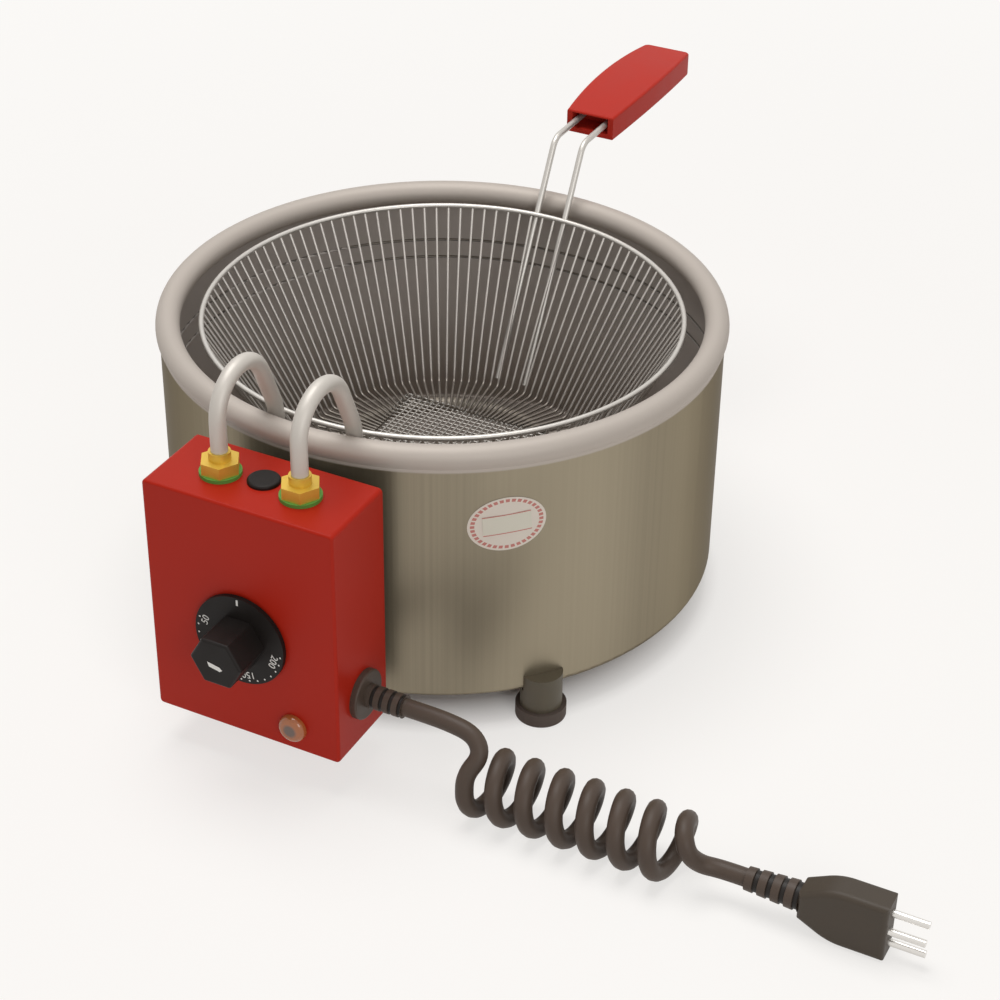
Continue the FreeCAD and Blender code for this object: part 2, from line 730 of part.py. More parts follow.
gland_holes = [
    cylinder(f"gland_hole_{side}", "gland_thread + fit_gap", "2 * overrun",
             (f"{sign}gland_x", "-gland_y", "box_top - overrun"))
    for side, sign in SIDES
]
stopper_hole = cylinder("stopper_hole", "stopper_stem + fit_gap", "2 * overrun",
                        ("0", "-box_back - stopper_setback", "box_top - overrun"))
bush_hole = cylinder("bush_hole", "bush_radius + fit_gap", "bush_nut_height + 2 * overrun",
                     ("0", "overrun - box_front", "knob_height"), "-Y")
lamp_hole = cylinder("lamp_hole", "lamp_body_radius + fit_gap", "2 * overrun",
                     ("lamp_offset", "overrun - box_front", "lamp_height"), "-Y")
cord_hole = cylinder("cord_hole", "stem_radius + fit_gap", "2 * overrun",
                     ("box_side - overrun", "-cord_y", "cord_height"), "+X")
piece(cut("cover_cut", fuse("cover_with_tabs", cover_body, *tabs), *screw_drills, *gland_holes,
          stopper_hole, bush_hole, lamp_hole, cord_hole), "box_cover")

# Back plate with its screws, and the hook that hangs the head on the pot
hook_rivets = [
    rivet(f"hook_rivet_{side}", f"{sign}hook_rivet_offset",
          "hook_bottom + (hook_flange + tongue_thickness) / 2",
          "plate_inside", "box_back - tongue_thickness")
    for side, sign in SIDES
]
hook_drills = [drill for _, drill in hook_rivets]
earth_drill = cylinder("earth_drill", "earth_radius + fit_gap", "plate_thickness + 2 * overrun",
                       ("earth_offset", "overrun - box_back", "earth_height"), "-Y")
plate = block("plate_blank", ("2 * (side_inside - fit_gap)", "plate_thickness",
                              "box_height - 2 * (cover_thickness + fit_gap)"),
              ("fit_gap - side_inside", "-plate_inside", "box_bottom + cover_thickness + fit_gap"))
piece(cut("plate_cut", plate, *screw_drills, *hook_drills, earth_drill), "back_plate")
piece(group("screw_set", screws), "cover_screws")
hook_left = "-tongue_width / 2"
hook = fuse(
    "hook_blank",
    block("hook_plate", ("tongue_width", "tongue_thickness", "hook_flange"),
          (hook_left, "-box_back", "hook_bottom")),
    block("hook_shoulder", ("tongue_width", "box_back - tongue_inner", "tongue_thickness"),
          (hook_left, "-box_back", "hook_bottom")),
    block("hook_tongue", ("tongue_width", "tongue_thickness", "pocket_depth + tongue_thickness"),
          (hook_left, "-tongue_outer", "pocket_bottom + rest_gap")),
)
piece(cut("hook_cut", hook, *hook_drills), "hanging_hook")
piece(group("hook_rivet_pair", [solid for solid, _ in hook_rivets]), "hook_rivets")


# Heating element: one tube, up out of the box, over the rim, down the wall and round a loop
def element_path():
    lean = math.radians(mm("leg_lean"))
    sine, cosine = math.sin(lean), math.cos(lean)
    half, setback = mm("gland_x"), mm("gland_y")
    arch, bend, heel = mm("arch_radius"), mm("leg_bend"), mm("heel_bend")
    fillet, loop = mm("loop_fillet"), mm("loop_radius")
    rise = mm("arch_height") - mm("element_end")
    run = (setback - mm("leg_y") - arch * (1 + cosine) - bend * (1 - cosine)) / sine
    drop = mm("arch_height") + (arch - bend) * sine - run * cosine - mm("loop_height") - heel
    fillet_y = math.sqrt((loop + fillet) ** 2 - (half + fillet) ** 2)
    shelf = mm("leg_y") - heel - fillet_y
    turn = math.degrees(math.atan2(fillet_y, half + fillet))
    trail = Trail((-half, -setback, mm("element_end")), UP)
    trail.straight(rise)
    trail.bend(arch, 180 - mm("leg_lean"), (0, 1, 0))
    trail.straight(run)
    trail.bend(bend, mm("leg_lean"), (0, -cosine, -sine))
    trail.straight(drop)
    trail.bend(heel, 90, (0, 1, 0))
    trail.straight(shelf)
    trail.bend(fillet, turn, (-1, 0, 0))
    trail.bend(loop, 180 + 2 * turn, (half + fillet, fillet_y, 0))
    trail.bend(fillet, turn, (half + fillet, -fillet_y, 0))
    trail.straight(shelf)
    trail.bend(heel, 90, UP)
    trail.straight(drop)
    trail.bend(bend, mm("leg_lean"), (0, -1, 0))
    trail.straight(run)
    trail.bend(arch, 180 - mm("leg_lean"), (0, -cosine, -sine))
    trail.straight(rise)
    return trail


shaped("heating_element", element_path().pipe(mm("tube_radius")))
piece(group("pin_pair", [
    cylinder(f"cold_pin_{side}", "pin_radius", "pin_length",
             (f"{sign}gland_x", "-gland_y", "element_end - pin_length"))
    for side, sign in SIDES
]), "cold_pins")

# Brass glands: a hexagon and collar above the lid, a thread and nut below, a green fibre washer
for side, sign in SIDES:
    x = f"{sign}gland_x"
    thread = cylinder(f"gland_thread_{side}", "gland_thread",
                      "gland_seat - top_inside + gland_nut_height + thread_end",
                      (x, "-gland_y", "top_inside - gland_nut_height - thread_end"))
    hexed = hexagon(f"gland_hex_{side}", "gland_flats", "gland_height", (x, "-gland_y", "gland_seat"))
    collar = cylinder(f"gland_collar_{side}", "collar_radius", "gland_height + collar_height",
                      (x, "-gland_y", "gland_seat"))
    bore = cylinder(f"gland_bore_{side}", "tube_radius + fit_gap", "box_height",
                    (x, "-gland_y", "top_inside - gland_nut_height - thread_end - overrun"))
    gland = fuse(f"gland_blank_{side}", thread, hexed, collar)
    piece(cut(f"gland_cut_{side}", gland, bore), f"element_gland_{side}")
    clear = cylinder(f"gland_clear_{side}", "gland_thread + fit_gap", "box_height",
                     (x, "-gland_y", "box_top - box_height / 2"))
    washer = cylinder(f"washer_disc_{side}", "washer_radius", "washer_thickness", (x, "-gland_y", "box_top"))
    piece(cut(f"washer_cut_{side}", washer, clear), f"gland_washer_{side}")
    nut = hexagon(f"gland_nut_blank_{side}", "gland_flats", "gland_nut_height",
                  (x, "-gland_y", "top_inside - gland_nut_height"))
    piece(cut(f"gland_nut_cut_{side}", nut, clear), f"gland_nut_{side}")

# Rubber stopper in the spare hole between the glands
stopper_body = doc.addObject("PartDesign::Body", "stopper_body")
stopper_spot = ("0", "-box_back - stopper_setback")
primitive("PartDesign::AdditiveCylinder", "stopper_stem_bar",
          {"Radius": "stopper_stem", "Height": "cover_thickness + overrun"},
          (*stopper_spot, "top_inside - overrun"), body=stopper_body)
stopper_cap = primitive("PartDesign::AdditiveCylinder", "stopper_cap",
                        {"Radius": "stopper_radius", "Height": "stopper_height"},
                        (*stopper_spot, "box_top"), body=stopper_body)
rounded(stopper_body, stopper_cap, "stopper_dome", "stopper_round", on_side(stopper_cap, "ZMax"))
piece(stopper_body, "hole_stopper")

# Thermostat: a switch box whose threaded bush is clamped to the front panel by a flat nut
case = block("thermostat_case", ("thermostat_width", "thermostat_depth", "thermostat_height"),
             ("-thermostat_width / 2", "-thermostat_front", "knob_height - thermostat_height / 2"))
bush = cylinder("thermostat_bush", "bush_radius", "bush_length + cover_thickness + bush_reach",
                ("0", "-thermostat_front", "knob_height"), "-Y")
bush_bore = cylinder("bush_bore", "spindle_radius + fit_gap",
                     "spindle_depth + bush_length + cover_thickness + bush_reach + 2 * overrun",
                     ("0", "spindle_depth + overrun - thermostat_front", "knob_height"), "-Y")
piece(cut("thermostat_cut", fuse("thermostat_blank", case, bush), bush_bore), "thermostat_body")
bush_nut = hexagon("bush_nut_blank", "bush_nut_flats", "bush_nut_height",
                   ("0", "-box_front", "knob_height"), "-Y")
piece(cut("bush_nut_cut", bush_nut, bush_hole), "thermostat_nut")

# Sensing bulb in its clip on the back plate, and the capillary tube that joins it to the switch
bulb_spot = ("-bulb_length / 2", "-bulb_y", "bulb_height")
piece(cylinder("bulb_bar", "bulb_radius", "bulb_length", bulb_spot, "+X"), "sensor_bulb")
clip = block("clip_block", ("clip_width", "clip_depth", "clip_height"),
             ("-clip_width / 2", "-plate_inside - clip_depth", "bulb_height - clip_height / 2"))
bulb_drill = cylinder("bulb_drill", "bulb_radius + fit_gap", "bulb_length", bulb_spot, "+X")
piece(cut("clip_cut", clip, bulb_drill), "bulb_clip")


def capillary_path():
    case_top = mm("knob_height") + mm("thermostat_height") / 2
    start_y = mm("thermostat_back") + mm("capillary_lead")
    bend = mm("capillary_bend")
    trail = Trail((-mm("capillary_offset"), -start_y, case_top), UP)
    trail.straight(mm("bulb_height") - case_top - bend)
    trail.bend(bend, 90, (-1, 0, 0))
    trail.straight(mm("bulb_length") / 2 + mm("capillary_lead") - mm("capillary_offset") - bend)
    trail.bend((start_y - mm("bulb_y")) / 2, 180, (0, 1, 0))
    trail.straight(mm("capillary_lead"))
    return trail


shaped("capillary_tube", capillary_path().pipe(mm("capillary_radius")))

# Pilot lamp: a domed lens on the panel, its body behind and a spring ring that holds it
lens_body = doc.addObject("PartDesign::Body", "lens_body")
lens = primitive("PartDesign::AdditiveCylinder", "lens_disc",
                 {"Radius": "lens_radius", "Height": "lens_height"},
                 ("lamp_offset", "-box_front", "lamp_height"), "-Y", body=lens_body)
rounded(lens_body, lens, "lens_dome", "lens_round", on_side(lens, "YMin"))
piece(lens_body, "pilot_lens")
lamp_spot = ("lamp_offset", "-box_front", "lamp_height")
piece(cylinder("lamp_barrel", "lamp_body_radius", "lamp_body_length", lamp_spot, "+Y"), "pilot_body")
lamp_ring = cylinder("lamp_ring_disc", "lamp_ring_radius", "lamp_ring_thickness",
                     ("lamp_offset", "-panel_inside", "lamp_height"), "+Y")
lamp_drill = cylinder("lamp_drill", "lamp_body_radius + fit_gap", "lamp_body_length", lamp_spot, "+Y")
piece(cut("lamp_ring_cut", lamp_ring, lamp_drill), "pilot_ring")

# Terminal block and earth screw on the back plate
piece(block("terminal_bar", ("terminal_length", "terminal_depth", "terminal_height"),
            ("-terminal_offset", "-plate_inside - terminal_depth", "terminal_bottom")), "terminal_block")
piece(fuse(
    "earth_screw_blank",
    cylinder("earth_shank", "earth_radius", "plate_thickness",
             ("earth_offset", "-box_back", "earth_height"), "-Y"),
    cylinder("earth_cap_disc", "earth_head", "earth_cap",
             ("earth_offset", "-plate_inside", "earth_height"), "-Y"),
), "earth_screw")

# Cord entry: a flanged gland with its nut, the ribbed strain relief and the cord's near lead
gland_body = doc.addObject("PartDesign::Body", "cord_gland_body")
stem_length = "cord_nut_height + thread_end + cover_thickness"
stem_spot = ("side_inside - cord_nut_height - thread_end", "-cord_y", "cord_height")
primitive("PartDesign::AdditiveCylinder", "gland_stem", {"Radius": "stem_radius", "Height": stem_length},
          stem_spot, "+X", body=gland_body)
gland_flange = primitive("PartDesign::AdditiveCylinder", "gland_flange",
                         {"Radius": "flange_radius", "Height": "flange_thickness"},
                         ("box_side", "-cord_y", "cord_height"), "+X", body=gland_body)
rounded(gland_body, gland_flange, "flange_edge", "flange_round", on_side(gland_flange, "XMax"))
primitive("PartDesign::SubtractiveCylinder", "gland_passage",
          {"Radius": "cord_radius + fit_gap", "Height": f"{stem_length} + flange_thickness"},
          stem_spot, "+X", body=gland_body)
piece(gland_body, "cord_gland")
cord_nut = hexagon("cord_nut_blank", "cord_nut_flats", "cord_nut_height",
                   ("side_inside - cord_nut_height", "-cord_y", "cord_height"), "+X")
cord_nut_drill = cylinder("cord_nut_drill", "stem_radius + fit_gap", "cord_nut_height + 2 * overrun",
                          ("side_inside - cord_nut_height - overrun", "-cord_y", "cord_height"), "+X")
piece(cut("cord_nut_cut", cord_nut, cord_nut_drill), "cord_gland_nut")


def sleeve(start, length, ribs, first, last, y, height):
    """A ribbed sleeve moulded round the cord, with the cord's passage through it."""
    body = ribbed(mm(start), mm(length), int(mm(ribs)), mm(first), mm(last),
                  mm("rib_groove"), -mm(y), mm(height))
    passage = Part.makeCylinder(mm("cord_radius") + mm("fit_gap"), mm(length),
                                Vector(mm(start), -mm(y), mm(height)), Vector(1, 0, 0))
    return body.cut(passage)


shaped("strain_relief", sleeve("flange_end", "relief_length", "relief_ribs", "relief_root", "relief_tip",
                               "cord_y", "cord_height"))
piece(cylinder("near_lead_bar", "cord_radius", "lead_end - rest_gap - side_inside + cord_tail",
               ("side_inside - cord_tail", "-cord_y", "cord_height"), "+X"), "cord_near_lead")

# Knob: a round skirt with a hexagonal grip, hollowed for the nut and bored for its spindle
knob_body = doc.addObject("PartDesign::Body", "knob_body")
knob_spot = ("0", "-knob_back", "knob_height")
primitive("PartDesign::AdditiveCylinder", "knob_skirt",
          {"Radius": "knob_radius", "Height": "skirt_thickness"}, knob_spot, "-Y", body=knob_body)
knob_grip = primitive("PartDesign::AdditivePrism", "knob_grip",
                      {"Circumradius": "grip_flats / sqrt(3)", "Height": "knob_reach - knob_gap"},
                      knob_spot, "-Y", body=knob_body)
on_end = on_side(knob_grip, "YMin")
along_grip = runs_along("Y")
rounded(knob_body, knob_grip, "knob_edges", "knob_round", lambda edge: on_end(edge) or along_grip(edge))
for name, radius, depth in (("knob_recess", "knob_recess", "recess_depth"),
                            ("knob_bore", "spindle_radius + fit_gap", "spindle_reach + rest_gap")):
    primitive("PartDesign::SubtractiveCylinder", f"{name}_cut", {"Radius": radius, "Height": depth},
              knob_spot, "-Y", body=knob_body)
piece(knob_body, "thermostat_knob")
piece(cylinder("spindle_bar", "spindle_radius",
               "knob_back + spindle_reach - thermostat_front + spindle_depth",
               ("0", "spindle_depth - thermostat_front", "knob_height"), "-Y"), "knob_spindle")

# Basket ring and the wires of its wall, each bent inwards over the edge of the floor mesh
piece(primitive("Part::Torus", "ring_torus", {"Radius1": "ring_circle", "Radius2": "ring_wire"},
                ("0", "0", "ring_height")), "basket_ring")


def wall_wire(angle):
    top, bottom = mm("ring_height"), mm("floor_height")
    spread = mm("ring_circle") - mm("floor_circle")
    lean = math.atan2(spread, top - bottom)
    turn = math.pi / 2 - lean
    tangent = mm("wire_bend") * math.tan(turn / 2)
    to_mesh = mm("mesh_half") / max(abs(math.cos(angle)), abs(math.sin(angle)))
    trail = Trail((mm("ring_circle"), 0, top), (-math.sin(lean), 0, -math.cos(lean)))
    trail.straight(math.hypot(spread, top - bottom) - tangent)
    trail.bend(mm("wire_bend"), math.degrees(turn), (-math.cos(lean), 0, math.sin(lean)))
    trail.straight(mm("floor_circle") - tangent - to_mesh + mm("mesh_lap"))
    wire = trail.pipe(mm("wall_wire"))
    wire.rotate(Vector(), UP, math.degrees(angle))
    return wire


wire_count = int(mm("wire_count"))
shaped("basket_wall_wires", Part.makeCompound(
    [wall_wire(2 * math.pi * number / wire_count) for number in range(wire_count)]))


# Basket floor: a welded square mesh, made as one holed sheet
def square(x, y, side, height):
    corners = [Vector(x, y, height), Vector(x + side, y, height),
               Vector(x + side, y + side, height), Vector(x, y + side, height)]
    return Part.makePolygon(corners + corners[:1])


def floor_mesh():
    half, bar, cells = mm("mesh_half"), mm("mesh_bar"), int(mm("mesh_cells"))
    pitch = 2 * half / cells
    height = mm("mesh_bottom")
    edge = square(-half - bar / 2, -half - bar / 2, 2 * half + bar, height)
    holes = [square(-half + column * pitch + bar / 2, -half + line * pitch + bar / 2, pitch - bar, height)
             for column in range(cells) for line in range(cells)]
    return Part.makeFace([edge, *holes], "Part::FaceMakerBullseye").extrude(UP * mm("mesh_thickness"))


shaped("basket_floor_mesh", floor_mesh())


# Handle wires: two stiff wires along the outside of the wall, bent level into the grip
def handle_path(x):
    ring_y, foot_y = (math.sqrt(mm(circle) ** 2 - x ** 2) for circle in ("ring_circle", "floor_circle"))
    lean = math.atan2(ring_y - foot_y, mm("ring_height") - mm("floor_height"))
    climb = Vector(0, math.sin(lean), math.cos(lean))
    outward = Vector(0, math.cos(lean), -math.sin(lean))
    offset = mm("ring_wire") + mm("handle_wire") - mm("weld_sink")
    start = Vector(x, foot_y, mm("floor_height")) + outward * offset + climb * mm("handle_foot")
    length = (mm("handle_height") - start.z) / math.cos(lean)
    turn = math.pi / 2 - lean
    tangent = mm("handle_bend") * math.tan(turn / 2)
    trail = Trail(start, climb)
    trail.straight(length - tangent)
    trail.bend(mm("handle_bend"), math.degrees(turn), outward)
    trail.straight(mm("grip_start") + mm("handle_reach") - trail.point.y)
    return trail


for side, sign in (("left", -1), ("right", 1)):
    shaped(f"handle_wire_{side}", handle_path(sign * mm("handle_spacing") / 2).pipe(mm("handle_wire")))

# Handle grip: a moulded bar, bowed at its sides and arched along its length, its mouth round the wires
grip_body = doc.addObject("PartDesign::Body", "grip_body")
grip_outline = sketch_on(grip_body, "XY_Plane", "grip_outline",
                         ("-grip_width / 2", "grip_start", "grip_bottom"))
wide, long, bow = mm("grip_width"), mm("grip_length"), mm("grip_bow")
chain(grip_outline, [
    Part.LineSegment(Vector(0, 0), Vector(wide, 0)),
    Part.Arc(Vector(wide, 0), Vector(wide + bow, long / 2), Vector(wide, long)),
    Part.LineSegment(Vector(wide, long), Vector(0, long)),
    Part.Arc(Vector(0, long), Vector(-bow, long / 2), Vector(0, 0)),
])
NEAR, RIGHT, FAR, LEFT = range(4)
for line in (NEAR, FAR):
    grip_outline.addConstraint(Sketcher.Constraint("Horizontal", line))
grip_outline.addConstraint(Sketcher.Constraint("Coincident", NEAR, 1, -1, 1))
grip_outline.addConstraint(Sketcher.Constraint("PointOnObject", FAR, 2, -2))
limit(grip_outline, "near_width", "grip_width", "DistanceX", NEAR, 1, NEAR, 2, wide)
limit(grip_outline, "far_width", "grip_width", "DistanceX", FAR, 2, FAR, 1, wide)
limit(grip_outline, "length", "grip_length", "DistanceY", NEAR, 1, FAR, 2, long)
side_radius = "(grip_length ^ 2 / 4 + grip_bow ^ 2) / (2 * grip_bow)"
for name, side in (("right_bow", RIGHT), ("left_bow", LEFT)):
    limit(grip_outline, name, side_radius, "Radius", side, (long ** 2 / 4 + bow ** 2) / (2 * bow))
grip_bar = feature(grip_body, "Pad", "grip_pad", grip_outline, "grip_height + grip_arch + overrun")
ARCH, FAR_SIDE, LEVEL, NEAR_SIDE = range(4)
arch = mm("grip_arch")
for name, height, reach, side in (("top", "grip_bottom + grip_height", "grip_arch + 2 * overrun", 1),
                                  ("underside", "grip_bottom", "overrun", -1)):
    trim = sketch_on(grip_body, "YZ_Plane", f"grip_{name}_trim",
                     ("grip_start", height, "-grip_width / 2 - grip_bow - overrun"))
    level = side * (arch + mm("overrun"))
    chain(trim, [
        Part.Arc(Vector(long, 0), Vector(long / 2, arch), Vector(0, 0)),
        Part.LineSegment(Vector(long, 0), Vector(long, level)),
        Part.LineSegment(Vector(long, level), Vector(0, level)),
        Part.LineSegment(Vector(0, level), Vector(0, 0)),
    ])
    trim.addConstraint(Sketcher.Constraint("Horizontal", LEVEL))
    for line in (FAR_SIDE, NEAR_SIDE):
        trim.addConstraint(Sketcher.Constraint("Vertical", line))
    trim.addConstraint(Sketcher.Constraint("Coincident", NEAR_SIDE, 2, -1, 1))
    trim.addConstraint(Sketcher.Constraint("PointOnObject", FAR_SIDE, 1, -1))
    limit(trim, "length", "grip_length", "DistanceX", NEAR_SIDE, 2, FAR_SIDE, 1, long)
    low_end, high_end = (2, 1) if side > 0 else (1, 2)
    limit(trim, "reach", reach, "DistanceY", NEAR_SIDE, low_end, NEAR_SIDE, high_end, abs(level))
    limit(trim, "arch", "(grip_length ^ 2 / 4 + grip_arch ^ 2) / (2 * grip_arch)", "Radius", ARCH,
          (long ** 2 / 4 + arch ** 2) / (2 * arch))
    grip_bar = feature(grip_body, "Pocket", f"grip_{name}_cut", trim,
                       "grip_width + 2 * grip_bow + 2 * overrun", reverse=True)
far_end = on_side(grip_bar, "YMax")
upright = runs_along("Z")
grip_far = rounded(grip_body, grip_bar, "grip_corners", "grip_corner",
                   lambda edge: far_end(edge) and upright(edge))
rounded(grip_body, grip_far, "grip_edges", "grip_edge", lambda edge: not upright(edge))
mouth = sketch_on(grip_body, "XZ_Plane", "grip_mouth", ("-mouth_width / 2", "mouth_bottom", "-grip_start"))
rectangle(mouth, "mouth_width", "mouth_height")
feature(grip_body, "Pocket", "grip_pocket", mouth, "mouth_depth")
for side, sign in SIDES:
    primitive("PartDesign::SubtractiveCylinder", f"grip_bore_{side}",
              {"Radius": "handle_wire + fit_gap", "Height": "handle_reach + rest_gap"},
              (f"{sign}handle_spacing / 2", "grip_start", "handle_height"), "+Y", body=grip_body)
piece(grip_body, "handle_grip")


# Cord curls: from the near lead down into a helix that lies along X, and out towards the plug
def curl_path():
    radius, rise = mm("curl_radius"), mm("curl_pitch") / (2 * math.pi)

    def on_helix(turn):
        angle = math.pi + turn
        point = Vector(mm("curl_start") + rise * turn, radius * math.cos(angle) - mm("curl_line"),
                       radius * math.sin(angle) + mm("curl_height"))
        return point, Vector(rise, -radius * math.sin(angle), radius * math.cos(angle))

    trail = Trail((mm("lead_end"), -mm("cord_y"), mm("cord_height")), (1, 0, 0))
    trail.straight(mm("curl_run"))
    for quarter in range(int(mm("curl_quarters")) + 1):
        trail.biarc(*on_helix(quarter * math.pi / 2))
    trail.biarc(Vector(mm("curl_exit"), -mm("plug_line"), mm("plug_height")), (1, 0, 0))
    trail.straight(mm("curl_run"))
    return trail


def least_self_gap(trail, radius):
    """The least gap of a tube to itself, on points that lie over three diameters apart along it."""
    path = Part.Wire(trail.edges)
    spacing = radius / 2
    points = path.discretize(Distance=spacing)
    skip = math.ceil(6 * radius / spacing)
    nearest = min(a.distanceToPoint(b) for index, a in enumerate(points) for b in points[index + skip:])
    return nearest - 2 * radius


curls = curl_path()
arc_radii = [edge.Curve.Radius for edge in curls.edges if isinstance(edge.Curve, Part.Circle)]
print(f"cord curls: least gap {least_self_gap(curls, mm('cord_radius')):.2f} mm,"
      f" tightest arc {min(arc_radii):.1f} mm, length {Part.Wire(curls.edges).Length:.0f} mm")
shaped("cord_curls", curls.pipe(mm("cord_radius")))
far_start = "curl_exit + curl_run"
piece(cylinder("far_lead_bar", "cord_radius", f"plug_start - ({far_start})",
               (far_start, "-plug_line", "plug_height"), "+X"), "cord_far_lead")

# Plug: a moulded body on edge, a ribbed boot round the cord and three round pins
shaped("plug_boot", sleeve("boot_start", "boot_length", "boot_ribs", "boot_tip", "boot_root",
                           "plug_line", "plug_height"))
plug_core = doc.addObject("PartDesign::Body", "plug_core")
plug_outline = sketch_on(plug_core, "XZ_Plane", "plug_outline",
                         ("plug_start", "plug_height", "plug_line - plug_thickness / 2"))
half_neck, half_width = mm("plug_neck") / 2, mm("plug_width") / 2
upper = [Vector(0, half_neck), Vector(mm("shoulder_length"), half_width),
         Vector(mm("plug_length"), half_width)]
lower = [Vector(corner.x, -corner.y) for corner in reversed(upper)]
corners = upper + lower
chain(plug_outline, [Part.LineSegment(a, b) for a, b in zip(corners, corners[1:] + corners[:1])])
for line in range(len(upper)):
    opposite = len(corners) - 1 - line
    plug_outline.addConstraint(Sketcher.Constraint("Symmetric", line, 1, opposite, 1, -1))
plug_outline.addConstraint(Sketcher.Constraint("PointOnObject", 0, 1, -2))
for line, name in ((1, "shoulder_length"), (2, "plug_length")):
    limit(plug_outline, f"{name}_size", name, "DistanceX", 0, 1, line, 1, mm(name))
for line, name in ((0, "plug_neck"), (1, "plug_width"), (2, "plug_width")):
    limit(plug_outline, f"{name}_{line}", name, "DistanceY", len(corners) - 1 - line, 1, line, 1, mm(name))
plug_pad = feature(plug_core, "Pad", "plug_pad", plug_outline, "plug_thickness")
doc.recompute()
crossing = runs_along("Y")
at_front, at_back = on_side(plug_pad, "XMax"), on_side(plug_pad, "XMin")
plug_shoulders = rounded(plug_core, plug_pad, "plug_shoulders", "shoulder_round",
                         lambda edge: crossing(edge) and not at_front(edge) and not at_back(edge))
near_face, far_face = on_side(plug_shoulders, "YMin"), on_side(plug_shoulders, "YMax")
rounded(plug_core, plug_shoulders, "plug_edges", "plug_round",
        lambda edge: near_face(edge) or far_face(edge))

plug_pins = []
pin_drills = []
for name, across, along in (("line", "0", "pin_spacing / 2"), ("neutral", "0", "-pin_spacing / 2"),
                            ("earth", "earth_pin_shift", "0")):
    spot = ("plug_end - plug_pin_root", f"-plug_line - {across}", f"plug_height + {along}")
    plug_pins.append(cylinder(f"plug_pin_{name}", "plug_pin_radius",
                              "plug_pin_root + plug_pin_length", spot, "+X"))
    pin_drills.append(cylinder(f"plug_drill_{name}", "plug_pin_radius + fit_gap",
                               "plug_pin_root + overrun", spot, "+X"))
piece(cut("plug_cut", plug_core, *pin_drills), "plug_body")
piece(group("plug_pin_set", plug_pins), "plug_pins")

# Check every object, then write one file for each piece
doc.recompute()
for item in doc.Objects:
    if "Invalid" in item.State or "Error" in item.State:
        raise RuntimeError(f"{item.Label} failed: {item.State}")
for item in pieces:
    if item.Shape.isNull() or not item.Shape.isValid() or not item.Shape.Solids:
        raise RuntimeError(f"{item.Label} has no valid solid")
os.makedirs("parts", exist_ok=True)
for item in pieces:
    item.Shape.exportStep(os.path.join("parts", f"{item.Label}.step"))
print(f"{len(pieces)} pieces, {sum(len(item.Shape.Solids) for item in pieces)} solids")
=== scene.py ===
import math

import bmesh
import bpy
from mathutils import Matrix, Vector


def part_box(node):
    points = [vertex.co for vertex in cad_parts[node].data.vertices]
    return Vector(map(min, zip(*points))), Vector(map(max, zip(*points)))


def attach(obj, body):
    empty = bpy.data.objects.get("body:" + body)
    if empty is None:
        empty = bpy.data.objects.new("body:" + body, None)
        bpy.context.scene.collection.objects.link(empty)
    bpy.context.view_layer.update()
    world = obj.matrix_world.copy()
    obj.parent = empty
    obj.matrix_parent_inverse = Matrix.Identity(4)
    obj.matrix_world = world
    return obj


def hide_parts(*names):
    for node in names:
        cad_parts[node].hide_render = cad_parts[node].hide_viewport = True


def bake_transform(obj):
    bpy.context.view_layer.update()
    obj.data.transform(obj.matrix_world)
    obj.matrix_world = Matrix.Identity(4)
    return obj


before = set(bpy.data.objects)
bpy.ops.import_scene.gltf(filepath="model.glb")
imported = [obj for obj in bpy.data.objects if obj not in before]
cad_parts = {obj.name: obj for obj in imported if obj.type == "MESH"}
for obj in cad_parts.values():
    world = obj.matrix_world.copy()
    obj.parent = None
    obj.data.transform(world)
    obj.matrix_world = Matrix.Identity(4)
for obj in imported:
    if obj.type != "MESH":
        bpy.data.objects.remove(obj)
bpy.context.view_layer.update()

scene = bpy.context.scene

# View: the photograph looks down on the control head's corner from a little over a metre away.
# The lens is long and the picture is tipped by under a degree.
MM = 0.001
camera_place = Vector((547.3, -1019.3, 805.1)) * MM
camera_target = Vector((38.04, 0.0, 56.04)) * MM
camera_roll = math.radians(0.89)
forward = (camera_target - camera_place).normalized()
level_right = forward.cross(Vector((0, 0, 1))).normalized()
level_up = level_right.cross(forward)
right = level_right * math.cos(camera_roll) + level_up * math.sin(camera_roll)
up = level_up * math.cos(camera_roll) - level_right * math.sin(camera_roll)
lens = bpy.data.cameras.new("photo_lens")
lens.sensor_width = 36.0
lens.lens = 82.84
camera = bpy.data.objects.new("photo_camera", lens)
camera_turn = Matrix((right, up, -forward)).transposed().to_4x4()
camera.matrix_world = Matrix.Translation(camera_place) @ camera_turn
scene.collection.objects.link(camera)
scene.camera = camera
scene.view_settings.view_transform = "Standard"


# Worktop: a pale floor that takes the fryer's soft shadow, under a white studio dome and two large
# soft lamps. Its white fades out close round the pot's foot, a painted shade ring. None of it belongs
# to the object.
def link_object(name, data):
    """Put a new object into the scene."""
    item = bpy.data.objects.new(name, data)
    scene.collection.objects.link(item)
    return item


def blank_material(name):
    """A material with its Principled shader, ready to be wired."""
    material = bpy.data.materials.new(name)
    material.use_nodes = True
    tree = material.node_tree
    return material, tree, tree.nodes["Principled BSDF"]


def seen_directly(tree):
    """A mask of the rays that show the white studio: from the camera, a mirror or through glass."""
    rays = tree.nodes.new("ShaderNodeLightPath")
    joined = rays.outputs["Is Camera Ray"]
    for name in ("Is Glossy Ray", "Is Transmission Ray"):
        larger = tree.nodes.new("ShaderNodeMath")
        larger.operation = "MAXIMUM"
        tree.links.new(joined, larger.inputs[0])
        tree.links.new(rays.outputs[name], larger.inputs[1])
        joined = larger.outputs[0]
    return joined


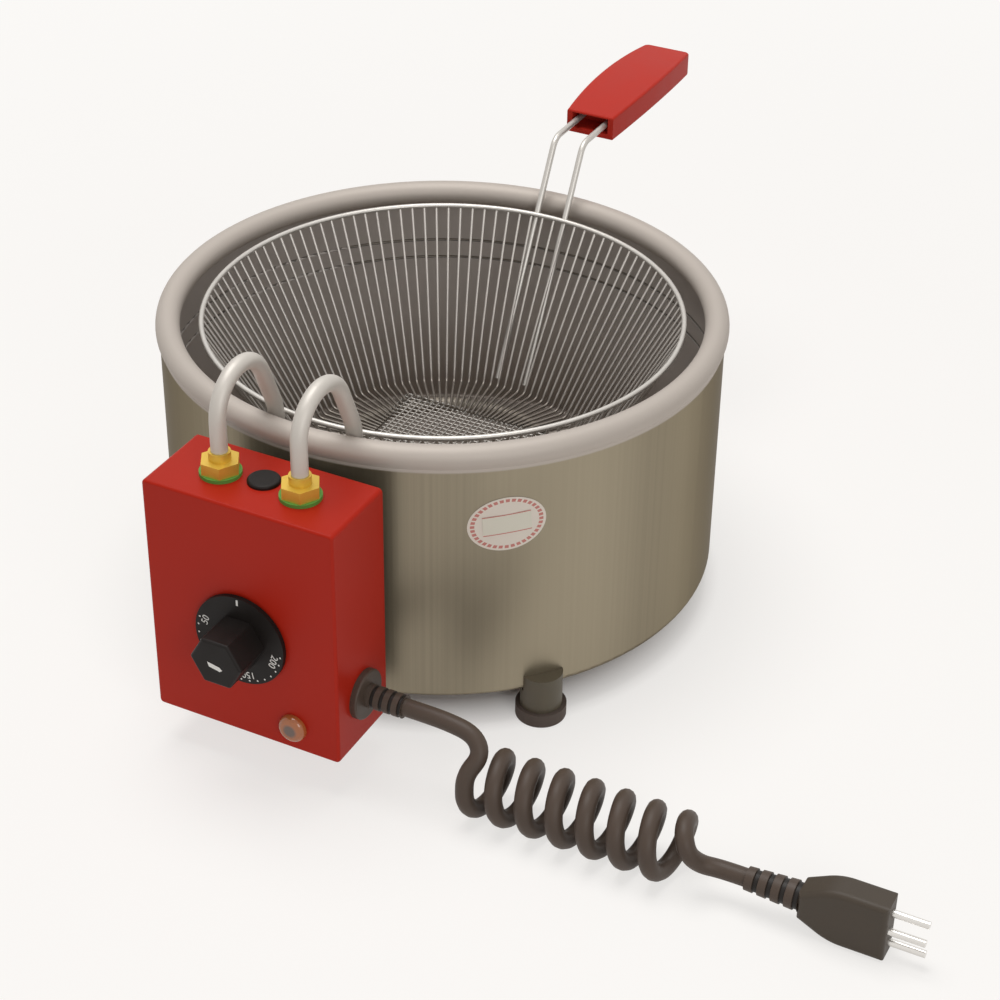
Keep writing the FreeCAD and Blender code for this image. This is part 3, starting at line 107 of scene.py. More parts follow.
def ramp_between(tree, value, low, high, start=0.0, end=1.0):
    """A number that goes from start to end while a value goes from low to high."""
    ramp = tree.nodes.new("ShaderNodeMapRange")
    limits = (("From Min", low), ("From Max", high), ("To Min", start), ("To Max", end))
    for name, number in limits:
        ramp.inputs[name].default_value = number
    tree.links.new(value, ramp.inputs["Value"])
    return ramp.outputs["Result"]


def coordinates(tree):
    """The object's own x and z, its place on the level and its distance from the upright axis."""
    place = tree.nodes.new("ShaderNodeTexCoord")
    parts = tree.nodes.new("ShaderNodeSeparateXYZ")
    level = tree.nodes.new("ShaderNodeVectorMath")
    level.operation = "MULTIPLY"
    level.inputs[1].default_value = (1, 1, 0)
    radius = tree.nodes.new("ShaderNodeVectorMath")
    radius.operation = "LENGTH"
    tree.links.new(place.outputs["Object"], parts.inputs[0])
    tree.links.new(place.outputs["Object"], level.inputs[0])
    tree.links.new(level.outputs[0], radius.inputs[0])
    return {"x": parts.outputs["X"], "z": parts.outputs["Z"],
            "level": level.outputs[0], "from_axis": radius.outputs["Value"]}


floor_reach = 30.0
floor_colour = (0.93, 0.90, 0.87, 1)
studio_colour = (1.0, 0.985, 0.965, 1)
painted_shade_ends, white_starts, near_share = 0.136, 0.168, 0.68
far_starts, far_ends, far_share = 0.5, 1.5, 0.32
floor_mesh = bpy.data.meshes.new("worktop")
corners = [(-floor_reach, -floor_reach, 0), (floor_reach, -floor_reach, 0),
           (floor_reach, floor_reach, 0), (-floor_reach, floor_reach, 0)]
floor_mesh.from_pydata(corners, [], [(0, 1, 2, 3)])
worktop = link_object("worktop", floor_mesh)
worktop_finish, tree, shader = blank_material("pale_worktop")
shader.inputs["Base Color"].default_value = floor_colour
shader.inputs["Roughness"].default_value = 0.9
shader.inputs["Specular IOR Level"].default_value = 0.1
studio_white = tree.nodes.new("ShaderNodeEmission")
studio_white.inputs["Color"].default_value = studio_colour
from_axis = coordinates(tree)["from_axis"]
white_share = tree.nodes.new("ShaderNodeMath")
# Near the pot the white share falls to nothing: the real shadow shows there, with extra painted shade
# in a ring round the foot.
white_beyond_painted_shade = ramp_between(tree, from_axis, painted_shade_ends, white_starts, 0.0, near_share)
far_white = ramp_between(tree, from_axis, far_starts, far_ends, 0.0, far_share)
tree.links.new(white_beyond_painted_shade, white_share.inputs[0])
tree.links.new(far_white, white_share.inputs[1])
whiten = tree.nodes.new("ShaderNodeMath")
whiten.operation = "MULTIPLY"
tree.links.new(seen_directly(tree), whiten.inputs[0])
tree.links.new(white_share.outputs[0], whiten.inputs[1])
blended = tree.nodes.new("ShaderNodeMixShader")
tree.links.new(whiten.outputs[0], blended.inputs[0])
tree.links.new(shader.outputs[0], blended.inputs[1])
tree.links.new(studio_white.outputs[0], blended.inputs[2])
tree.links.new(blended.outputs[0], tree.nodes["Material Output"].inputs["Surface"])
floor_mesh.materials.append(worktop_finish)

dome_light, dome_seen = 0.30, 1.0
world = bpy.data.worlds.new("studio")
scene.world = world
world.use_nodes = True
sky = world.node_tree
dome = sky.nodes["Background"]
dome.inputs["Color"].default_value = studio_colour
dome_strength = ramp_between(sky, seen_directly(sky), 0.0, 1.0, dome_light, dome_seen)
sky.links.new(dome_strength, dome.inputs["Strength"])


def soft_lamp(name, place, size, watts):
    """A round lamp that faces the middle of the pot."""
    lamp = bpy.data.lights.new(name, "AREA")
    lamp.shape = "DISK"
    lamp.size = size
    lamp.energy = watts
    item = link_object(name, lamp)
    item.location = place
    pot_middle = Vector((0, 0, 0.1))
    item.rotation_euler = (pot_middle - Vector(place)).to_track_quat("-Z", "Y").to_euler()


soft_lamp("top_lamp", place=(-0.3, 0.1, 2.2), size=1.5, watts=32)
soft_lamp("corner_lamp", place=(1.4, -1.3, 0.9), size=0.9, watts=7.8)


# Pot: a round steel vessel, its rim rolled into a fat bead and left satin. The wall has an
# upright brushed grain and a brown cast, and darkens where it turns edge-on, as brushed metal
# does. Two level marks are rolled into the pale inside; their grooves are painted dark as shade,
# and the inside is painted darker lower down as shade deep in the pot.
def variation_group():
    """Cloudy changes of colour and gloss over a surface, with a fine grain for bump."""
    group = bpy.data.node_groups.new("surface_variation", "ShaderNodeTree")
    for name, kind in (("Color", "NodeSocketColor"), ("Roughness", "NodeSocketFloat"),
                       ("Scale", "NodeSocketFloat"), ("Spread", "NodeSocketFloat")):
        group.interface.new_socket(name, in_out="INPUT", socket_type=kind)
    for name, kind in (("Color", "NodeSocketColor"), ("Roughness", "NodeSocketFloat"),
                       ("Height", "NodeSocketFloat")):
        group.interface.new_socket(name, in_out="OUTPUT", socket_type=kind)
    nodes, links = group.nodes, group.links
    given, result = nodes.new("NodeGroupInput"), nodes.new("NodeGroupOutput")
    place = nodes.new("ShaderNodeTexCoord")
    cloud, grain = nodes.new("ShaderNodeTexNoise"), nodes.new("ShaderNodeTexNoise")
    cloud.inputs["Detail"].default_value = 6
    grain.inputs["Detail"].default_value = 2
    grain_fineness = 12
    finer = nodes.new("ShaderNodeMath")
    finer.operation = "MULTIPLY"
    finer.inputs[1].default_value = grain_fineness
    links.new(given.outputs["Scale"], finer.inputs[0])
    links.new(given.outputs["Scale"], cloud.inputs["Scale"])
    links.new(finer.outputs[0], grain.inputs["Scale"])
    for noise in (cloud, grain):
        links.new(place.outputs["Object"], noise.inputs["Vector"])
    swing = nodes.new("ShaderNodeMath")
    swing.operation = "MULTIPLY_ADD"
    swing.inputs[1].default_value = 2
    swing.inputs[2].default_value = -1
    links.new(cloud.outputs["Fac"], swing.inputs[0])
    amount = nodes.new("ShaderNodeMath")
    amount.operation = "MULTIPLY"
    links.new(swing.outputs[0], amount.inputs[0])
    links.new(given.outputs["Spread"], amount.inputs[1])
    shade = nodes.new("ShaderNodeHueSaturation")
    value = nodes.new("ShaderNodeMath")
    value.operation = "ADD"
    value.inputs[1].default_value = 1
    links.new(amount.outputs[0], value.inputs[0])
    links.new(value.outputs[0], shade.inputs["Value"])
    links.new(given.outputs["Color"], shade.inputs["Color"])
    gloss = nodes.new("ShaderNodeMath")
    gloss.operation = "ADD"
    gloss.use_clamp = True
    links.new(amount.outputs[0], gloss.inputs[0])
    links.new(given.outputs["Roughness"], gloss.inputs[1])
    links.new(shade.outputs["Color"], result.inputs["Color"])
    links.new(gloss.outputs[0], result.inputs["Roughness"])
    links.new(grain.outputs["Fac"], result.inputs["Height"])
    return group


variation = variation_group()


def finish(name, colour, roughness, metallic=0.0, gloss=0.5,
           scale=60, spread=0.08, bump=0.1, depth=0.0003):
    """A material whose colour, gloss and grain vary over the surface."""
    material, tree, shader = blank_material(name)
    vary = tree.nodes.new("ShaderNodeGroup")
    vary.node_tree = variation
    vary.inputs["Color"].default_value = (*colour, 1)
    vary.inputs["Roughness"].default_value = roughness
    vary.inputs["Scale"].default_value = scale
    vary.inputs["Spread"].default_value = spread
    shader.inputs["Metallic"].default_value = metallic
    shader.inputs["Specular IOR Level"].default_value = gloss
    tree.links.new(vary.outputs["Color"], shader.inputs["Base Color"])
    tree.links.new(vary.outputs["Roughness"], shader.inputs["Roughness"])
    grain = tree.nodes.new("ShaderNodeBump")
    grain.inputs["Strength"].default_value = bump
    grain.inputs["Distance"].default_value = depth
    tree.links.new(vary.outputs["Height"], grain.inputs["Height"])
    tree.links.new(grain.outputs["Normal"], shader.inputs["Normal"])
    return material, tree, vary


def dress(material, *names):
    """Give CAD nodes their finish."""
    for name in names:
        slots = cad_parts[name].data.materials
        slots.clear()
        slots.append(material)


def colour_between(tree, mask, first, second):
    """Mix two colours, each a triple or a socket, by a mask."""
    mix = tree.nodes.new("ShaderNodeMix")
    mix.data_type = "RGBA"
    tree.links.new(mask, mix.inputs["Factor"])
    for letter, colour in (("A", first), ("B", second)):
        socket = next(item for item in mix.inputs if item.name == letter and item.type == "RGBA")
        if isinstance(colour, tuple):
            socket.default_value = (*colour, 1)
        else:
            tree.links.new(colour, socket)
    return next(item for item in mix.outputs if item.type == "RGBA")


def shade_of(colour, share):
    """The same colour, lighter or darker."""
    return tuple(share * part for part in colour)


wall_colour = (0.352, 0.305, 0.222)
dark_wall, light_wall = shade_of(wall_colour, 0.74), shade_of(wall_colour, 1.12)
inside_colour = (0.52, 0.475, 0.44)
groove_shade_colour = shade_of(inside_colour, 0.35)
deep_shade_colour = (0.33, 0.285, 0.25)
bead_colour = (0.505, 0.452, 0.405)
edge_tint = (0.22, 0.21, 0.21, 1)
wall_roughness, bead_roughness = 0.40, 0.58
wall_metal, satin_metal = 0.9, 0.2
grain_share = 0.2
pot_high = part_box("pot_shell")[1]
bead_foot = pot_high[2] - 0.0138
below_bead, above_bead = 0.0004, 0.0006
wall_middle, wall_blur = 0.160, 0.0003
groove_lip, groove_floor = 0.1591, 0.1595
unshaded_above, shaded_below = 0.085, 0.035
pot_finish, tree, vary = finish("browned_brushed_steel", wall_colour, wall_roughness,
                                scale=7, spread=0.05, bump=0.25, depth=0.0002)
shader = tree.nodes["Principled BSDF"]
spot = coordinates(tree)
bands, grain = tree.nodes.new("ShaderNodeTexNoise"), tree.nodes.new("ShaderNodeTexNoise")
for noise, scale, detail in ((bands, 11, 1), (grain, 520, 4)):
    noise.inputs["Scale"].default_value = scale
    noise.inputs["Detail"].default_value = detail
    tree.links.new(spot["level"], noise.inputs["Vector"])
bead_mask = ramp_between(tree, spot["z"], bead_foot - below_bead, bead_foot + above_bead)
inside_mask = ramp_between(tree, spot["from_axis"], wall_middle + wall_blur, wall_middle - wall_blur)
band_mask = ramp_between(tree, bands.outputs["Fac"], 0.36, 0.64)
grain_mask = ramp_between(tree, grain.outputs["Fac"], 0.35, 0.65, 0.0, grain_share)
# Painted shade: the level-mark grooves are coloured dark in their recess.
groove_shade_mask = ramp_between(tree, spot["from_axis"], groove_lip, groove_floor)
# Painted shade: the inside darkens towards the bottom, deep in the pot.
deep_shade_mask = ramp_between(tree, spot["z"], unshaded_above, shaded_below)
banded = colour_between(tree, band_mask, dark_wall, wall_colour)
grained = colour_between(tree, grain_mask, banded, light_wall)
inside_with_groove_shade = colour_between(tree, groove_shade_mask, inside_colour, groove_shade_colour)
inside_with_deep_shade = colour_between(tree, deep_shade_mask, inside_with_groove_shade, deep_shade_colour)
inside_or_out = colour_between(tree, inside_mask, grained, inside_with_deep_shade)
tree.links.new(colour_between(tree, bead_mask, inside_or_out, bead_colour), vary.inputs["Color"])
pot_roughness = ramp_between(tree, bead_mask, 0.0, 1.0, wall_roughness, bead_roughness)
tree.links.new(pot_roughness, vary.inputs["Roughness"])
satin_mask = tree.nodes.new("ShaderNodeMath")
satin_mask.operation = "MAXIMUM"
tree.links.new(bead_mask, satin_mask.inputs[0])
tree.links.new(inside_mask, satin_mask.inputs[1])
pot_metal = ramp_between(tree, satin_mask.outputs[0], 0.0, 1.0, wall_metal, satin_metal)
tree.links.new(pot_metal, shader.inputs["Metallic"])
tree.links.new(grain.outputs["Fac"], tree.nodes["Bump"].inputs["Height"])
shader.inputs["Specular Tint"].default_value = edge_tint
dress(pot_finish, "pot_shell")

# Oval sticker: a thin pale film, printed, bent to the wall and glued on. A ring of red dashes
# runs round it, and a plain grey panel lies between two thin red lines in its middle.
plate_turn = math.radians(-49.8)
plate_tilt = math.radians(4)
plate_height = 0.1330
plate_half_width, plate_half_height = 0.0214, 0.0165
bead_overhang, film_proud, print_proud = 0.002, 0.0002, 0.0001
plate_radius = pot_high[0] - bead_overhang + film_proud
film = dict(scale=40, bump=0.02)
pale_print = finish("pale_sticker", (0.74, 0.67, 0.59), 0.45, spread=0.03, **film)[0]
red_print = finish("red_sticker_band", (0.54, 0.20, 0.17), 0.45, spread=0.05, **film)[0]
grey_print = finish("grey_sticker_panel", (0.70, 0.67, 0.57), 0.5, spread=0.03, **film)[0]
PALE, RED, GREY = range(3)


def on_wall(u, v, proud=0.0):
    """A point of the flat sticker laid on the round wall."""
    across = u * math.cos(plate_tilt) - v * math.sin(plate_tilt)
    height = plate_height + v * math.cos(plate_tilt) + u * math.sin(plate_tilt)
    angle = plate_turn + across / plate_radius
    radius = plate_radius + proud
    return (radius * math.cos(angle), radius * math.sin(angle), height)


sticker = bmesh.new()
spokes = 108
spokes_per_dash = 3
band_edges = (1.0, 0.93, 0.82)
DASHED_BAND = 1
turns = [2 * math.pi * spoke / spokes for spoke in range(spokes)]
rings = [[sticker.verts.new(on_wall(plate_half_width * share * math.cos(turn),
                                    plate_half_height * share * math.sin(turn)))
          for turn in turns] for share in band_edges]
centre = sticker.verts.new(on_wall(0, 0))
for band, (outside, inside) in enumerate(zip(rings, rings[1:])):
    for spoke in range(spokes):
        after = (spoke + 1) % spokes
        face = sticker.faces.new((outside[spoke], outside[after], inside[after], inside[spoke]))
        dashed = band == DASHED_BAND and spoke % spokes_per_dash > 0
        face.material_index = RED if dashed else PALE
for spoke in range(spokes):
    sticker.faces.new((rings[-1][spoke], rings[-1][(spoke + 1) % spokes], centre))
panel_half_width, panel_half_height, line_height = 0.0132, 0.0054, 0.0006
panel_steps = 8


def sticker_strip(low, high, colour_index):
    """A level strip of print across the middle of the sticker."""
    across = [panel_half_width * (2 * step / panel_steps - 1) for step in range(panel_steps + 1)]
    lower, upper = ([sticker.verts.new(on_wall(place, height, print_proud)) for place in across]
                    for height in (low, high))
    for step in range(panel_steps):
        face = sticker.faces.new((lower[step], lower[step + 1], upper[step + 1], upper[step]))
        face.material_index = colour_index


sticker_strip(-panel_half_height, panel_half_height, GREY)
sticker_strip(panel_half_height, panel_half_height + line_height, RED)
sticker_strip(-panel_half_height - line_height, -panel_half_height, RED)
sticker_mesh = bpy.data.meshes.new("wall_sticker")
sticker.to_mesh(sticker_mesh)
for material in (pale_print, red_print, grey_print):
    sticker_mesh.materials.append(material)
wall_sticker = link_object("wall_sticker", sticker_mesh)
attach(wall_sticker, "pot")

# Feet: turned plastic legs on rubber pads, both a dusty black, each held up by a welded stud.
# The bumpers that keep the control head off the wall are of the same rubber.
foot_plastic = finish("dusty_black_plastic", (0.105, 0.088, 0.058), 0.5,
                      scale=70, spread=0.16, bump=0.15)[0]
pad_rubber = finish("dusty_black_rubber", (0.088, 0.065, 0.053), 0.72,
                    scale=90, spread=0.2, bump=0.25)[0]
foot_numbers = range(1, 5)
dress(foot_plastic, *(f"foot_leg_{number}" for number in foot_numbers))
dress(pad_rubber, *(f"foot_pad_{number}" for number in foot_numbers), "wall_bumpers")

# Hanger and hook: pressed steel with dull zinc, riveted to the wall and to the head's back plate.
# The studs, rivets, screws and nuts are steel with a brighter plating.
zinc = finish("dull_zinc", (0.30, 0.30, 0.29), 0.5, metallic=0.85, scale=45, spread=0.12)[0]
dress(zinc, "hanger_bracket", "hanging_hook", "back_plate", "bulb_clip")
bright_steel = finish("plated_fasteners", (0.62, 0.61, 0.59), 0.32, metallic=1.0,
                      scale=80, spread=0.06, bump=0.05)[0]
dress(bright_steel, "foot_studs", "hanger_rivets", "hook_rivets", "cover_screws", "earth_screw",
      "thermostat_nut", "knob_spindle", "pilot_ring")

# Control box: folded sheet steel in smooth red enamel with a faint orange-peel skin.
# It closes over the back plate and is held to it by small screws.
red_enamel = finish("red_enamel", (0.415, 0.016, 0.005), 0.42, gloss=0.14,
                    scale=30, spread=0.04, bump=0.06, depth=0.0002)[0]
dress(red_enamel, "box_cover")

# Heating element: a bent tube with a satin nickel skin, browned where it dips into the oil.
# It is sealed in two brass glands that are screwed down on green fibre washers.
tube_colour = (0.60, 0.56, 0.51)
oiled_colour = (0.30, 0.26, 0.21)
oil_starts, oil_full = 0.150, 0.085
tube_skin, tree, vary = finish("satin_nickel_tube", tube_colour, 0.52, metallic=0.3,
                               scale=40, spread=0.05, bump=0.06)
oil_mask = ramp_between(tree, coordinates(tree)["z"], oil_starts, oil_full)
tree.links.new(colour_between(tree, oil_mask, tube_colour, oiled_colour), vary.inputs["Color"])
dress(tube_skin, "heating_element")
brass = finish("machined_brass", (0.70, 0.47, 0.07), 0.42, metallic=0.5, bump=0.08)[0]
dress(brass, "element_gland_left", "element_gland_right", "gland_nut_left", "gland_nut_right",
      "cold_pins")
green_fibre = finish("green_fibre", (0.10, 0.32, 0.05), 0.6, scale=120, spread=0.12, bump=0.15)[0]
dress(green_fibre, "gland_washer_left", "gland_washer_right")

# Working parts: the thermostat's copper bulb and drawn copper tube, a glazed ceramic terminal
# block and cases of black phenolic, all screwed up inside the box. The knob and the stopper
# in the box's top are moulded from the same phenolic.
copper = finish("drawn_copper", (0.66, 0.34, 0.21), 0.35, metallic=1.0, spread=0.1, bump=0.05)[0]
dress(copper, "sensor_bulb", "capillary_tube")
ceramic = finish("glazed_ceramic", (0.80, 0.78, 0.73), 0.25, scale=50, spread=0.04, bump=0.03)[0]
dress(ceramic, "terminal_block")
black_phenolic = finish("black_phenolic", (0.011, 0.0085, 0.0075), 0.5, gloss=0.18,
                        scale=90, spread=0.2, bump=0.08)[0]
dress(black_phenolic, "thermostat_knob", "thermostat_body", "pilot_body", "cord_gland_nut",
      "hole_stopper")

# Pilot lamp: an amber plastic lens with a clear gloss, held in the front of the box by a ring.
# Its middle is coloured dark in a round patch.
amber_colour = (0.40, 0.125, 0.035)
dark_middle_colour = (0.13, 0.08, 0.06)
dark_middle_radius, amber_radius = 0.0028, 0.0045
amber, tree, vary = finish("amber_lens", amber_colour, 0.2, scale=80, spread=0.05, bump=0.03)
lens_low, lens_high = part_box("pilot_lens")
place = tree.nodes.new("ShaderNodeTexCoord")
from_centre = tree.nodes.new("ShaderNodeVectorMath")
from_centre.operation = "SUBTRACT"
lens_centre = [(low + high) / 2 for low, high in zip(lens_low, lens_high)]
from_centre.inputs[1].default_value = lens_centre
on_panel = tree.nodes.new("ShaderNodeVectorMath")
on_panel.operation = "MULTIPLY"
on_panel.inputs[1].default_value = (1, 0, 1)
out_from_centre = tree.nodes.new("ShaderNodeVectorMath")
out_from_centre.operation = "LENGTH"
tree.links.new(place.outputs["Object"], from_centre.inputs[0])
tree.links.new(from_centre.outputs[0], on_panel.inputs[0])
tree.links.new(on_panel.outputs[0], out_from_centre.inputs[0])
# The middle of the lens is coloured dark in a round patch.
ring_mask = ramp_between(tree, out_from_centre.outputs["Value"], dark_middle_radius, amber_radius)
lens_colour = colour_between(tree, ring_mask, dark_middle_colour, amber_colour)
tree.links.new(lens_colour, vary.inputs["Color"])
tree.nodes["Principled BSDF"].inputs["Coat Weight"].default_value = 0.35
dress(amber, "pilot_lens")

# Knob: black phenolic with a white scale printed round its skirt and a short white mark on the
# end of its six-sided grip. It is pushed on to the thermostat's spindle.
knob_low, knob_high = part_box("thermostat_knob")
knob_x = (knob_low[0] + knob_high[0]) / 2
knob_z = (knob_low[2] + knob_high[2]) / 2
skirt_thickness, scale_proud, pointer_proud = 0.0026, 0.00008, 0.00006
skirt_face = knob_high[1] - skirt_thickness - scale_proud
grip_face = knob_low[1] - pointer_proud
figure_circle, dot_circle = 0.0212, 0.0249
tick_circles = (0.0222, 0.0258)
white_print = finish("white_scale_print", (0.78, 0.77, 0.74), 0.5, scale=90, spread=0.05, bump=0.02)[0]


def on_dial(radius, degrees):
    """A point on the skirt, turned from the top towards the left as seen from the front."""
    angle = math.radians(degrees)
    return Vector((knob_x - radius * math.sin(angle), skirt_face, knob_z + radius * math.cos(angle)))


for number, degrees in ((50, 72), (100, 132), (150, 192), (200, 252)):
    print_shape = bpy.data.curves.new(f"dial_{number}", "FONT")
    print_shape.body = str(number)
    print_shape.size = 0.0058
    print_shape.align_x = "CENTER"
    print_shape.align_y = "CENTER"
    print_shape.extrude = 0.00004
    print_shape.materials.append(white_print)
    figure = link_object(f"dial_{number}", print_shape)
    figure.matrix_world = (Matrix.Translation(on_dial(figure_circle, degrees))
                           @ Matrix.Rotation(math.radians(-degrees), 4, "Y")
                           @ Matrix.Rotation(math.radians(90), 4, "X"))
    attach(figure, "knob")

marks = bmesh.new()


def flat_mark(points):
    """A thin printed patch with its corners at the points."""
    marks.faces.new([marks.verts.new(point) for point in points])


dot_radius, dot_sides = 0.00055, 10
first_dot, last_dot, dot_step = 72, 264, 12
dot_turns = [2 * math.pi * side / dot_sides for side in range(dot_sides)]
dot_rim = [Vector((dot_radius * math.cos(turn), 0, dot_radius * math.sin(turn))) for turn in dot_turns]
for degrees in range(first_dot, last_dot + 1, dot_step):
    middle = on_dial(dot_circle, degrees)
    flat_mark([middle + offset for offset in dot_rim])
tick_low, tick_high = (on_dial(radius, 0) for radius in tick_circles)
tick_half = Vector((0.0006, 0, 0))
flat_mark([tick_low - tick_half, tick_low + tick_half, tick_high + tick_half, tick_high - tick_half])
pointer = [(-4.8, 0.2), (-3.8, -2.6), (2.6, -4.0), (4.2, -2.8), (2.6, -1.2)]
flat_mark([(knob_x + across * MM, grip_face, knob_z + rise * MM) for across, rise in pointer])
marks_mesh = bpy.data.meshes.new("dial_marks")
marks.to_mesh(marks_mesh)
marks_mesh.materials.append(white_print)
dial_marks = link_object("dial_marks", marks_mesh)
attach(dial_marks, "knob")

# Basket: nickel-plated steel wires, spot-welded to a ring above and a square mesh below. The
# side wires are painted darker downwards as shade deep in the pot, and near black at the mesh as
# painted shadow. The mesh is two crossed layers of straight wires, drawn here as round wires in one
# curve.
plated_colour = (0.56, 0.535, 0.50)
upper_colour, lower_shade_colour = (0.55, 0.52, 0.485), (0.46, 0.43, 0.40)
mesh_shadow_colour = (0.21, 0.185, 0.16)
mesh_colour = (0.42, 0.395, 0.365)
wire_shade_starts, wire_shade_full = 0.17, 0.08
mesh_shadow_starts, mesh_shadow_full = 0.008, 0.001
wire_skin = dict(metallic=0.7, scale=90, spread=0.06, bump=0.04)
plated_wire = finish("plated_basket_wire", plated_colour, 0.42, **wire_skin)[0]
dress(plated_wire, "basket_ring", "handle_wire_left", "handle_wire_right")
mesh_low, mesh_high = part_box("basket_floor_mesh")
shaded_wire, tree, vary = finish("shaded_basket_wire", plated_colour, 0.45, **wire_skin)
wire_z = coordinates(tree)["z"]
# Painted shade: the side wires darken downwards into the pot.
wire_shade_mask = ramp_between(tree, wire_z, wire_shade_starts, wire_shade_full)
# Painted shadow: the wires turn near black where they reach the mesh.
mesh_shadow_mask = ramp_between(tree, wire_z, mesh_high[2] + mesh_shadow_starts, mesh_high[2] + mesh_shadow_full)
wires_with_shade = colour_between(tree, wire_shade_mask, upper_colour, lower_shade_colour)
tree.links.new(colour_between(tree, mesh_shadow_mask, wires_with_shade, mesh_shadow_colour), vary.inputs["Color"])
dress(shaded_wire, "basket_wall_wires")
mesh_wire = finish("dull_mesh_wire", mesh_colour, 0.45, **wire_skin)[0]
wire_radius = 0.00055
mesh_cells = 28
mesh_inset = 0.0006
layers = (mesh_low[2] + wire_radius, mesh_high[2] - wire_radius)
floor_wires = bpy.data.curves.new("floor_wires", "CURVE")
floor_wires.dimensions = "3D"
floor_wires.bevel_depth = wire_radius
floor_wires.bevel_resolution = 2
floor_wires.use_fill_caps = True
for axis, height in enumerate(layers):
    ends = (mesh_low[axis] + wire_radius, mesh_high[axis] - wire_radius)
    first, last = mesh_low[1 - axis] + mesh_inset, mesh_high[1 - axis] - mesh_inset
    for cell in range(mesh_cells + 1):
        across = first + (last - first) * cell / mesh_cells
        strand = floor_wires.splines.new("POLY")
        strand.points.add(1)
        for point, along in zip(strand.points, ends):
            corner = [0, 0, height, 1]
            corner[axis], corner[1 - axis] = along, across
            point.co = corner
floor_wires.materials.append(mesh_wire)
basket_mesh = link_object("basket_mesh", floor_wires)
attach(basket_mesh, "basket")
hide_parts("basket_floor_mesh")

# Handle grip: an arched bar of red phenolic with a fine satin skin.
# It is moulded with an open mouth and pressed on to the two handle wires.
red_phenolic = finish("red_phenolic", (0.459, 0.024, 0.013), 0.5, gloss=0.15,
                      scale=50, spread=0.06, bump=0.12)[0]
dress(red_phenolic, "handle_grip")

# Relief, boot and plug: moulded from grey-brown rubber, the plug a little darker than the sleeves,
# which are cut into ribs with painted shade in their grooves. The plug's pins are solid nickel-plated
# brass.
cord_colour = (0.074, 0.052, 0.039)
painted_groove_shade = shade_of(cord_colour, 1 / 8)
sleeve_ribs = 4


def rib_group():
    """Painted shade in the grooves at even steps along X, between the ribs of a moulded sleeve."""
    group = bpy.data.node_groups.new("painted_rib_shade", "ShaderNodeTree")
    for name in ("Start", "Step"):
        group.interface.new_socket(name, in_out="INPUT", socket_type="NodeSocketFloat")
    group.interface.new_socket("Painted Shade", in_out="OUTPUT", socket_type="NodeSocketFloat")
    nodes, links = group.nodes, group.links
    given, result = nodes.new("NodeGroupInput"), nodes.new("NodeGroupOutput")
    from_start, steps, share = (nodes.new("ShaderNodeMath") for _ in range(3))
    for node, operation in ((from_start, "SUBTRACT"), (steps, "DIVIDE"), (share, "FRACT")):
        node.operation = operation
    links.new(coordinates(group)["x"], from_start.inputs[0])
    links.new(given.outputs["Start"], from_start.inputs[1])
    links.new(from_start.outputs[0], steps.inputs[0])
    links.new(given.outputs["Step"], steps.inputs[1])
    links.new(steps.outputs[0], share.inputs[0])
    rib_ends, groove_starts = 0.58, 0.66
    groove_painted_shade = ramp_between(group, share.outputs[0], rib_ends, groove_starts)
    links.new(groove_painted_shade, result.inputs["Painted Shade"])
    return group


painted_rib_shade = rib_group()


def rubber(name, colour):
    """Moulded rubber with a soft gloss."""
    return finish(name, colour, 0.5, gloss=0.3, scale=90, spread=0.10, bump=0.12)


cord_rubber = rubber("grey_brown_rubber", cord_colour)[0]
dress(cord_rubber, "cord_gland")
plug_rubber = rubber("dark_plug_rubber", (0.060, 0.046, 0.033))[0]
dress(plug_rubber, "plug_body")
for sleeve in ("strain_relief", "plug_boot"):
    ribbed_rubber, tree, vary = rubber(f"ribbed_rubber_{sleeve}", cord_colour)
    sleeve_low, sleeve_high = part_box(sleeve)
    grooves = tree.nodes.new("ShaderNodeGroup")
    grooves.node_tree = painted_rib_shade
    grooves.inputs["Start"].default_value = sleeve_low[0]
    grooves.inputs["Step"].default_value = (sleeve_high[0] - sleeve_low[0]) / sleeve_ribs
    # Painted shade: the grooves between the ribs are coloured dark.
    ribbed_with_shade = colour_between(tree, grooves.outputs["Painted Shade"], cord_colour, painted_groove_shade)
    tree.links.new(ribbed_with_shade, vary.inputs["Color"])
    dress(ribbed_rubber, sleeve)
pin_metal = finish("nickel_pins", (0.72, 0.70, 0.67), 0.25, metallic=1.0,
                   scale=80, spread=0.05, bump=0.03)[0]
dress(pin_metal, "plug_pins")

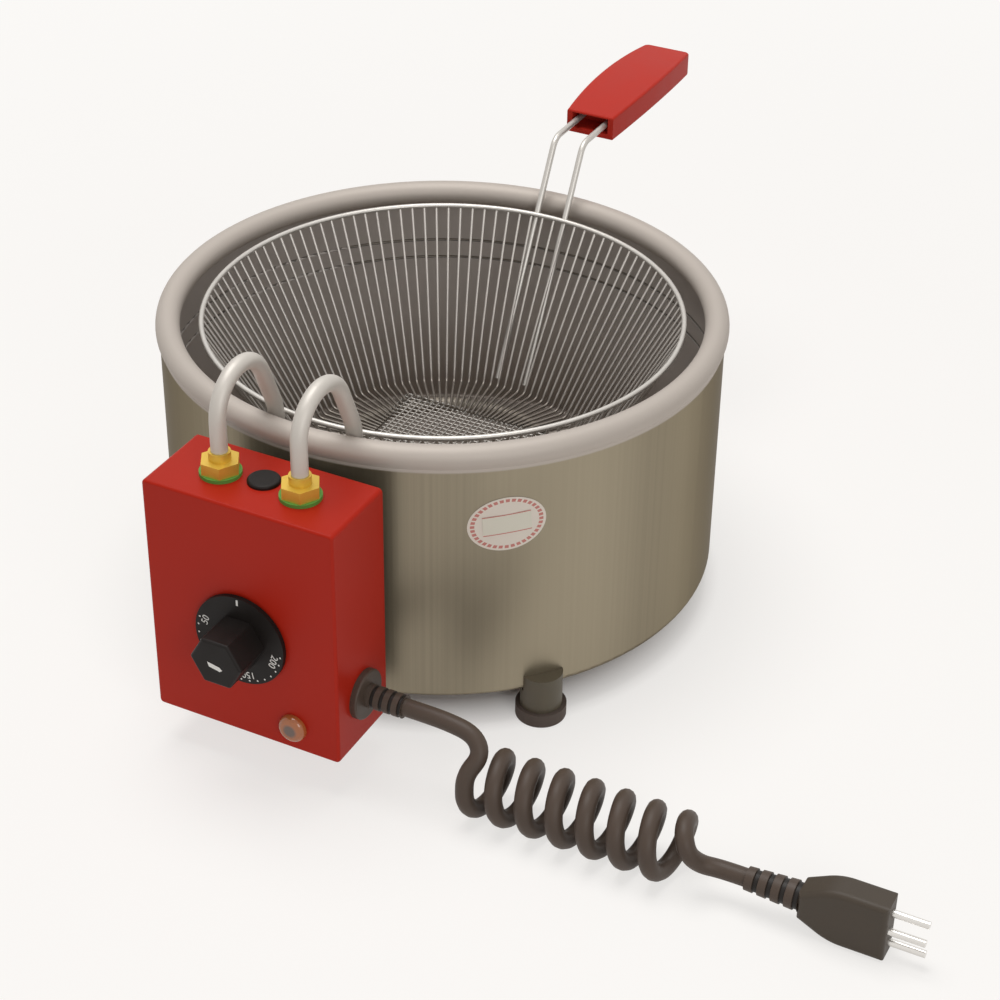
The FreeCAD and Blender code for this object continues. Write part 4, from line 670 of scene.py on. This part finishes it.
# Cord: one round lead in the same grey-brown rubber, out of its relief, down into seven curls that
# lie on the worktop and on to the plug's boot. It is drawn as one smooth tube along its route.
cord_radius = 0.0049
relief_end = (0.08205, -0.1953, 0.0535)
lead_points = [relief_end, (0.0920, -0.1953, 0.0535), (0.1080, -0.1953, 0.0532),
               (0.1235, -0.1960, 0.0510), (0.1300, -0.2005, 0.0430), (0.1240, -0.2075, 0.0330)]
curl_radius, curl_pitch = 0.0155, 0.0173
curl_start, curl_line, curl_height = 0.1246, -0.1942, 0.0206
curl_turns, points_per_turn = 6.75, 16
# The smooth line runs a little inside its points, so they stand further out than the curl.
points_pull = 0.7
points_radius = curl_radius / math.cos(math.pi / points_per_turn) ** points_pull
curl_points = []
for step in range(int(curl_turns * points_per_turn) + 1):
    angle = math.pi + 2 * math.pi * step / points_per_turn
    curl_points.append((curl_start + curl_pitch * step / points_per_turn,
                        curl_line + points_radius * math.cos(angle),
                        curl_height + points_radius * math.sin(angle)))
tail_points = [(0.2440, -0.2010, 0.0340), (0.2475, -0.2030, 0.0265), (0.2530, -0.1985, 0.0190),
               (0.2610, -0.1955, 0.0174), (0.2700, -0.1952, 0.0174), (0.2790, -0.1952, 0.0174)]
route = bpy.data.curves.new("cord_route", "CURVE")
route.dimensions = "3D"
line = route.splines.new("NURBS")
cord_points = lead_points + curl_points + tail_points
line.points.add(len(cord_points) - 1)
for point, place in zip(line.points, cord_points):
    point.co = (*place, 1)
line.order_u = 3
line.use_endpoint_u = True
line.resolution_u = 6
guide = link_object("cord_route", route)
path_mesh = bpy.data.meshes.new_from_object(guide)
route.bevel_depth = cord_radius
route.bevel_resolution = 5
route.use_fill_caps = True
bpy.context.view_layer.update()
drawn_cord = guide.evaluated_get(bpy.context.evaluated_depsgraph_get())
cord_mesh = bpy.data.meshes.new_from_object(drawn_cord)
bpy.data.objects.remove(guide)
for face in cord_mesh.polygons:
    face.use_smooth = True
cord_mesh.materials.clear()
cord_mesh.materials.append(cord_rubber)
mains_cord = link_object("mains_cord", cord_mesh)
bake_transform(mains_cord)
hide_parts("cord_near_lead", "cord_curls", "cord_far_lead")
